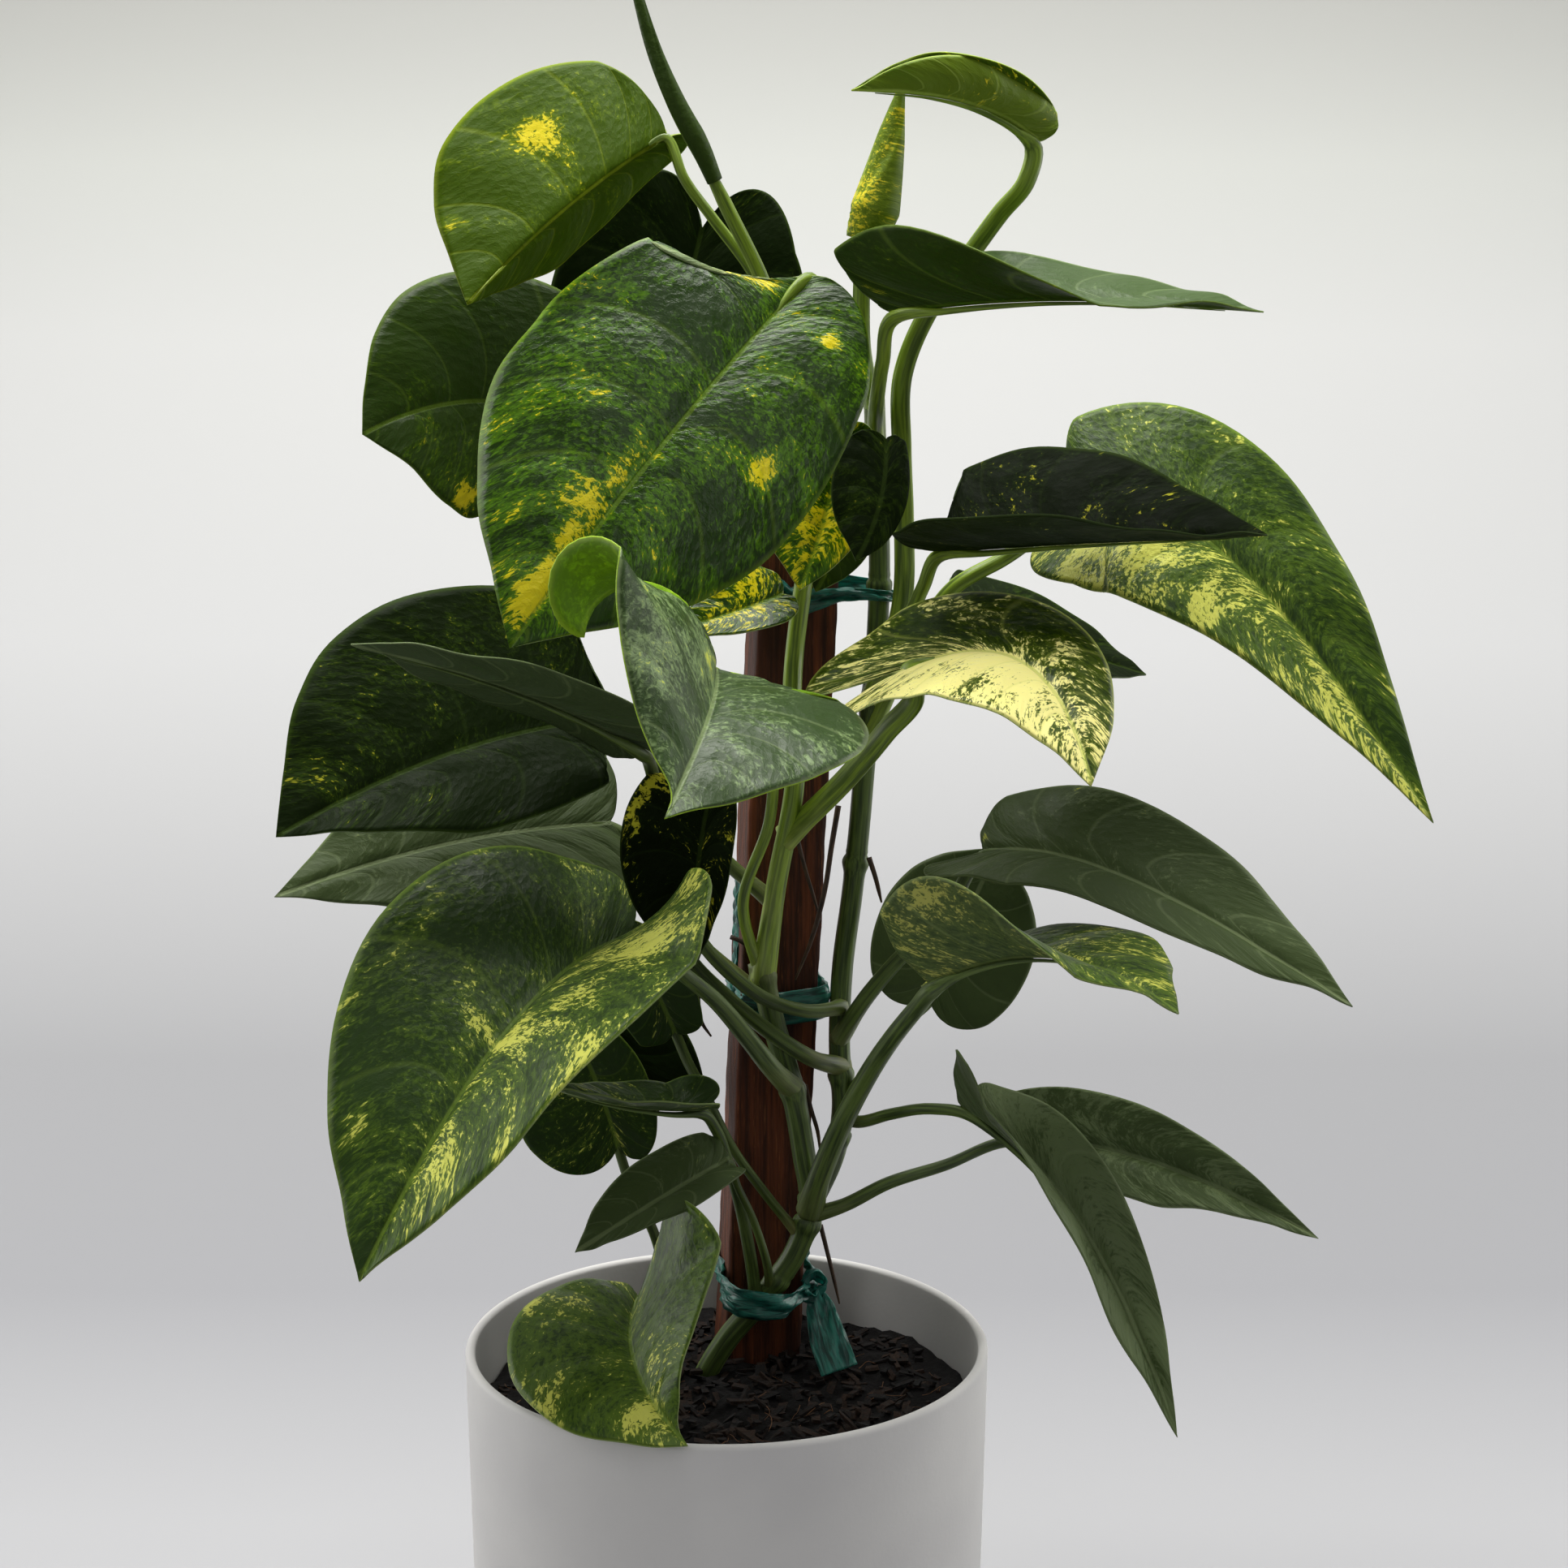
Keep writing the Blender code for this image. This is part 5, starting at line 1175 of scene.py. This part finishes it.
# %% [markdown]
# ## Stake
# The stake is a sawn square of red cedar, 25 mm across. It is a closed tube whose ring is a square with
# worn corners, with saw marks as slow waves along it. Its grain runs lengthwise: growth rings cut by the
# saw make stripes about 2 mm apart, and the wood is dry, so it hardly shines.

# %% Stake
STAKE_FOOT = (7.3, 46.0, 105.0)
STAKE_HEAD = (21.0, 46.0, 400.0)
STAKE_WIDTH = 25.0
STAKE_TURN = 9.0
# stripe, fibre and stain: size of a grain along the three axes in mm, detail, roughness, distortion
CEDAR_GRAINS = (
    ((2.2, 2.2, 90), 4.0, 0.6, 0.3),
    ((0.5, 0.5, 14), 3.0, 0.7, 0.0),
    ((14, 14, 40), 2.0, 0.5, 0.0),
)


def stake_rings():
    """Square rings with worn corners: (cos, sin) scaled by the square's reach, from foot to head."""
    sides, rows = 96, 120
    angle = np.linspace(0, 2*np.pi, sides, endpoint=False)
    reach = (np.abs(np.cos(angle))**24 + np.abs(np.sin(angle))**24)**(-1/24)
    plan = np.stack([reach*np.cos(angle), reach*np.sin(angle)], -1)*STAKE_WIDTH/2
    share = np.linspace(0, 1, rows)[:, None]
    wear = 0.988 + 0.010*np.sin(share*41 + 3*np.cos(angle)) + 0.006*np.sin(share*173 + 5*np.sin(2*angle))
    spin = np.radians(STAKE_TURN)
    x = plan[:, 0]*np.cos(spin) - plan[:, 1]*np.sin(spin)
    y = plan[:, 0]*np.sin(spin) + plan[:, 1]*np.cos(spin)
    middle = np.array(STAKE_FOOT)[None]*(1 - share) + np.array(STAKE_HEAD)[None]*share
    ring = middle[:, None] + np.stack([x*wear, y*wear, 0*wear], -1)
    return np.concatenate([ring.reshape(-1, 3), middle[:1], middle[-1:]]), tube_faces(rows, sides)


def cedar():
    """Dry sawn red cedar: growth-ring stripes, dark streaks along the grain, and fine saw fuzz."""
    made, tree, shader = finish("sawn_red_cedar", Specular_IOR_Level=0.3)
    place = node(tree, "TexCoord", out="Object")
    grains = []
    for size, detail, rough, distortion in CEDAR_GRAINS:
        placed = node(tree, "Mapping", {"Vector": place, "Scale": per_mm(*size)})
        grains.append(node(tree, "TexNoise", {"Vector": placed, "Scale": 1.0, "Detail": detail,
                                              "Roughness": rough, "Distortion": distortion}))
    stripe, fibre, stain = grains
    colour = layers(tree, "#381a0d", (stripe, 0.35, 0.68, 1.0, "#70391d"),
                    (fibre, 0.55, 0.75, 0.5, "#a0653c"), (stain, 0.45, 0.68, 0.75, "#2a140c"))
    dull = node(tree, "MapRange", (fibre, 0.3, 0.7, 0.68, 0.85), **SMOOTH)
    height = node(tree, "Math", (fibre, 0.6, stripe), operation="MULTIPLY_ADD")
    wire(tree, shader, colour, height, 0.5, dull)
    return made


stake_corners, stake_faces = stake_rings()
add_piece("stake_post", stake_corners, stake_faces, [cedar()], ["stake"])
print("stake:", len(stake_faces), "faces")

# %% [markdown]
# ## Ties
# The stems are tied with green stretch tape, a soft vinyl film. It is a strip carried round the stake:
# pulled flat in places, gathered into cords at the knots, and creased all over. The film is thin, so
# light comes through its tails, and it shines where it is stretched.

# %% Ties
TAPE_WIDTH = 12.0
TAPE_THICK = 0.25


def tape_finish():
    """Stretch vinyl film: teal, see-through in its tails, with creases that catch the light."""
    made, tree, shader = finish("stretch_vinyl_tape", IOR=1.5, Roughness=0.3, Subsurface_Weight=0.3,
                                Subsurface_Radius=(0.3, 1.0, 0.9), Subsurface_Scale=0.001)
    skin = node(tree, "Attribute", out="Vector", attribute_name="skin")
    placed = node(tree, "Mapping", {"Vector": skin, "Scale": per_mm(9, 1.6, 3)})
    crease = node(tree, "TexNoise", {"Vector": placed, "Scale": 1.0, "Detail": 3.0, "Roughness": 0.6,
                                     "Distortion": 0.5})
    wire(tree, shader, layers(tree, "#0c3a34", (crease, 0.35, 0.65, 1.0, "#2f7a6c")), crease, 0.5)
    return made


def tape_strip(route, widths, across, seed, wrinkle=0.35, columns=8, step=0.8):
    """A strip along a route: widened along `across`, with creases as waves of falling size off its face."""
    knots = np.asarray(route, float)
    length = np.linalg.norm(np.diff(knots, axis=0), axis=1).sum()
    rows = max(12, int(length/step))
    path = smooth_path(knots, rows)
    share = np.linspace(0, 1, rows)
    tangent = unit(np.gradient(path, axis=0))
    over = unit(np.asarray(across, float) + 0*tangent)
    over = unit(over - tangent*(over*tangent).sum(-1, keepdims=True))
    face = np.cross(tangent, over)
    knot_share, knot_width = np.array(widths, float).T
    width = np.interp(share, knot_share, knot_width)[:, None]
    lane = np.linspace(-0.5, 0.5, columns + 1)[None, :]
    phase = np.random.default_rng(seed).uniform(0, 6.28, 4)
    where = (share*length)[:, None]
    gather = 1 - width/TAPE_WIDTH
    rise = np.sin(where/3.1 + 9*lane + phase[0]) + 0.6*np.sin(where/1.3 - 21*lane + phase[1])
    rise = wrinkle*((1 + 3*gather)*rise + 0.5*np.sin(30*lane + phase[2]))
    corners = path[:, None] + over[:, None]*(width*lane)[..., None] + face[:, None]*rise[..., None]
    skin = np.stack(np.broadcast_arrays(where, width*lane, 0*where + 40.0*seed), -1).reshape(-1, 3)*MM
    return corners.reshape(-1, 3), grid_faces(rows, columns + 1).tolist(), skin, np.zeros(len(skin))


tape = tape_finish()
for name, strips in TAPES.items():
    corners, faces, skin, _ = join([tape_strip(*strip, seed=index + 1) for index, strip in enumerate(strips)])
    piece = add_piece(name + "_film", corners, faces, [tape], [name], {"skin": skin})
    film = piece.modifiers.new("thickness", "SOLIDIFY")
    film.thickness = TAPE_THICK*MM
    film.offset = 0.0
print("ties:", len(TAPES))

# %% [markdown]
# ## Aerial roots
# Every joint of a climbing pothos puts out roots that feel for something to hold. They are brown, dry and
# thin, some hang free and some are short dead spikes, so each is a thin rod of its own.

# %% Aerial roots
root_parts = [rod(route, [(0, radius), (0.7, 0.8*radius), (1, 0.35*radius)], 0, 0.10, sides=8, step=1.2)
              for route, radius in ROOTS]
corners, faces, straight, along = join(root_parts)
root_bark = rod_finish("aerial_root_bark", "#1d120b", "#4a3422", "#5d452c", 0.7, 0.25, (0.8, 0.8, 5.0))
add_piece("aerial_roots", corners, faces, [root_bark], ["aerial_root"],
          {"skin": straight, "along": along})
print("aerial roots:", len(ROOTS))

# %% Sizes, and the end
new_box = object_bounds()
boxes = {"cad": [[float(v) for v in corner] for corner in cad_box],
         "visual": [[float(v) for v in corner] for corner in new_box]}
for key, (low, high) in boxes.items():
    print(key, "box (mm):", [round((b - a)*1000, 1) for a, b in zip(low, high)])
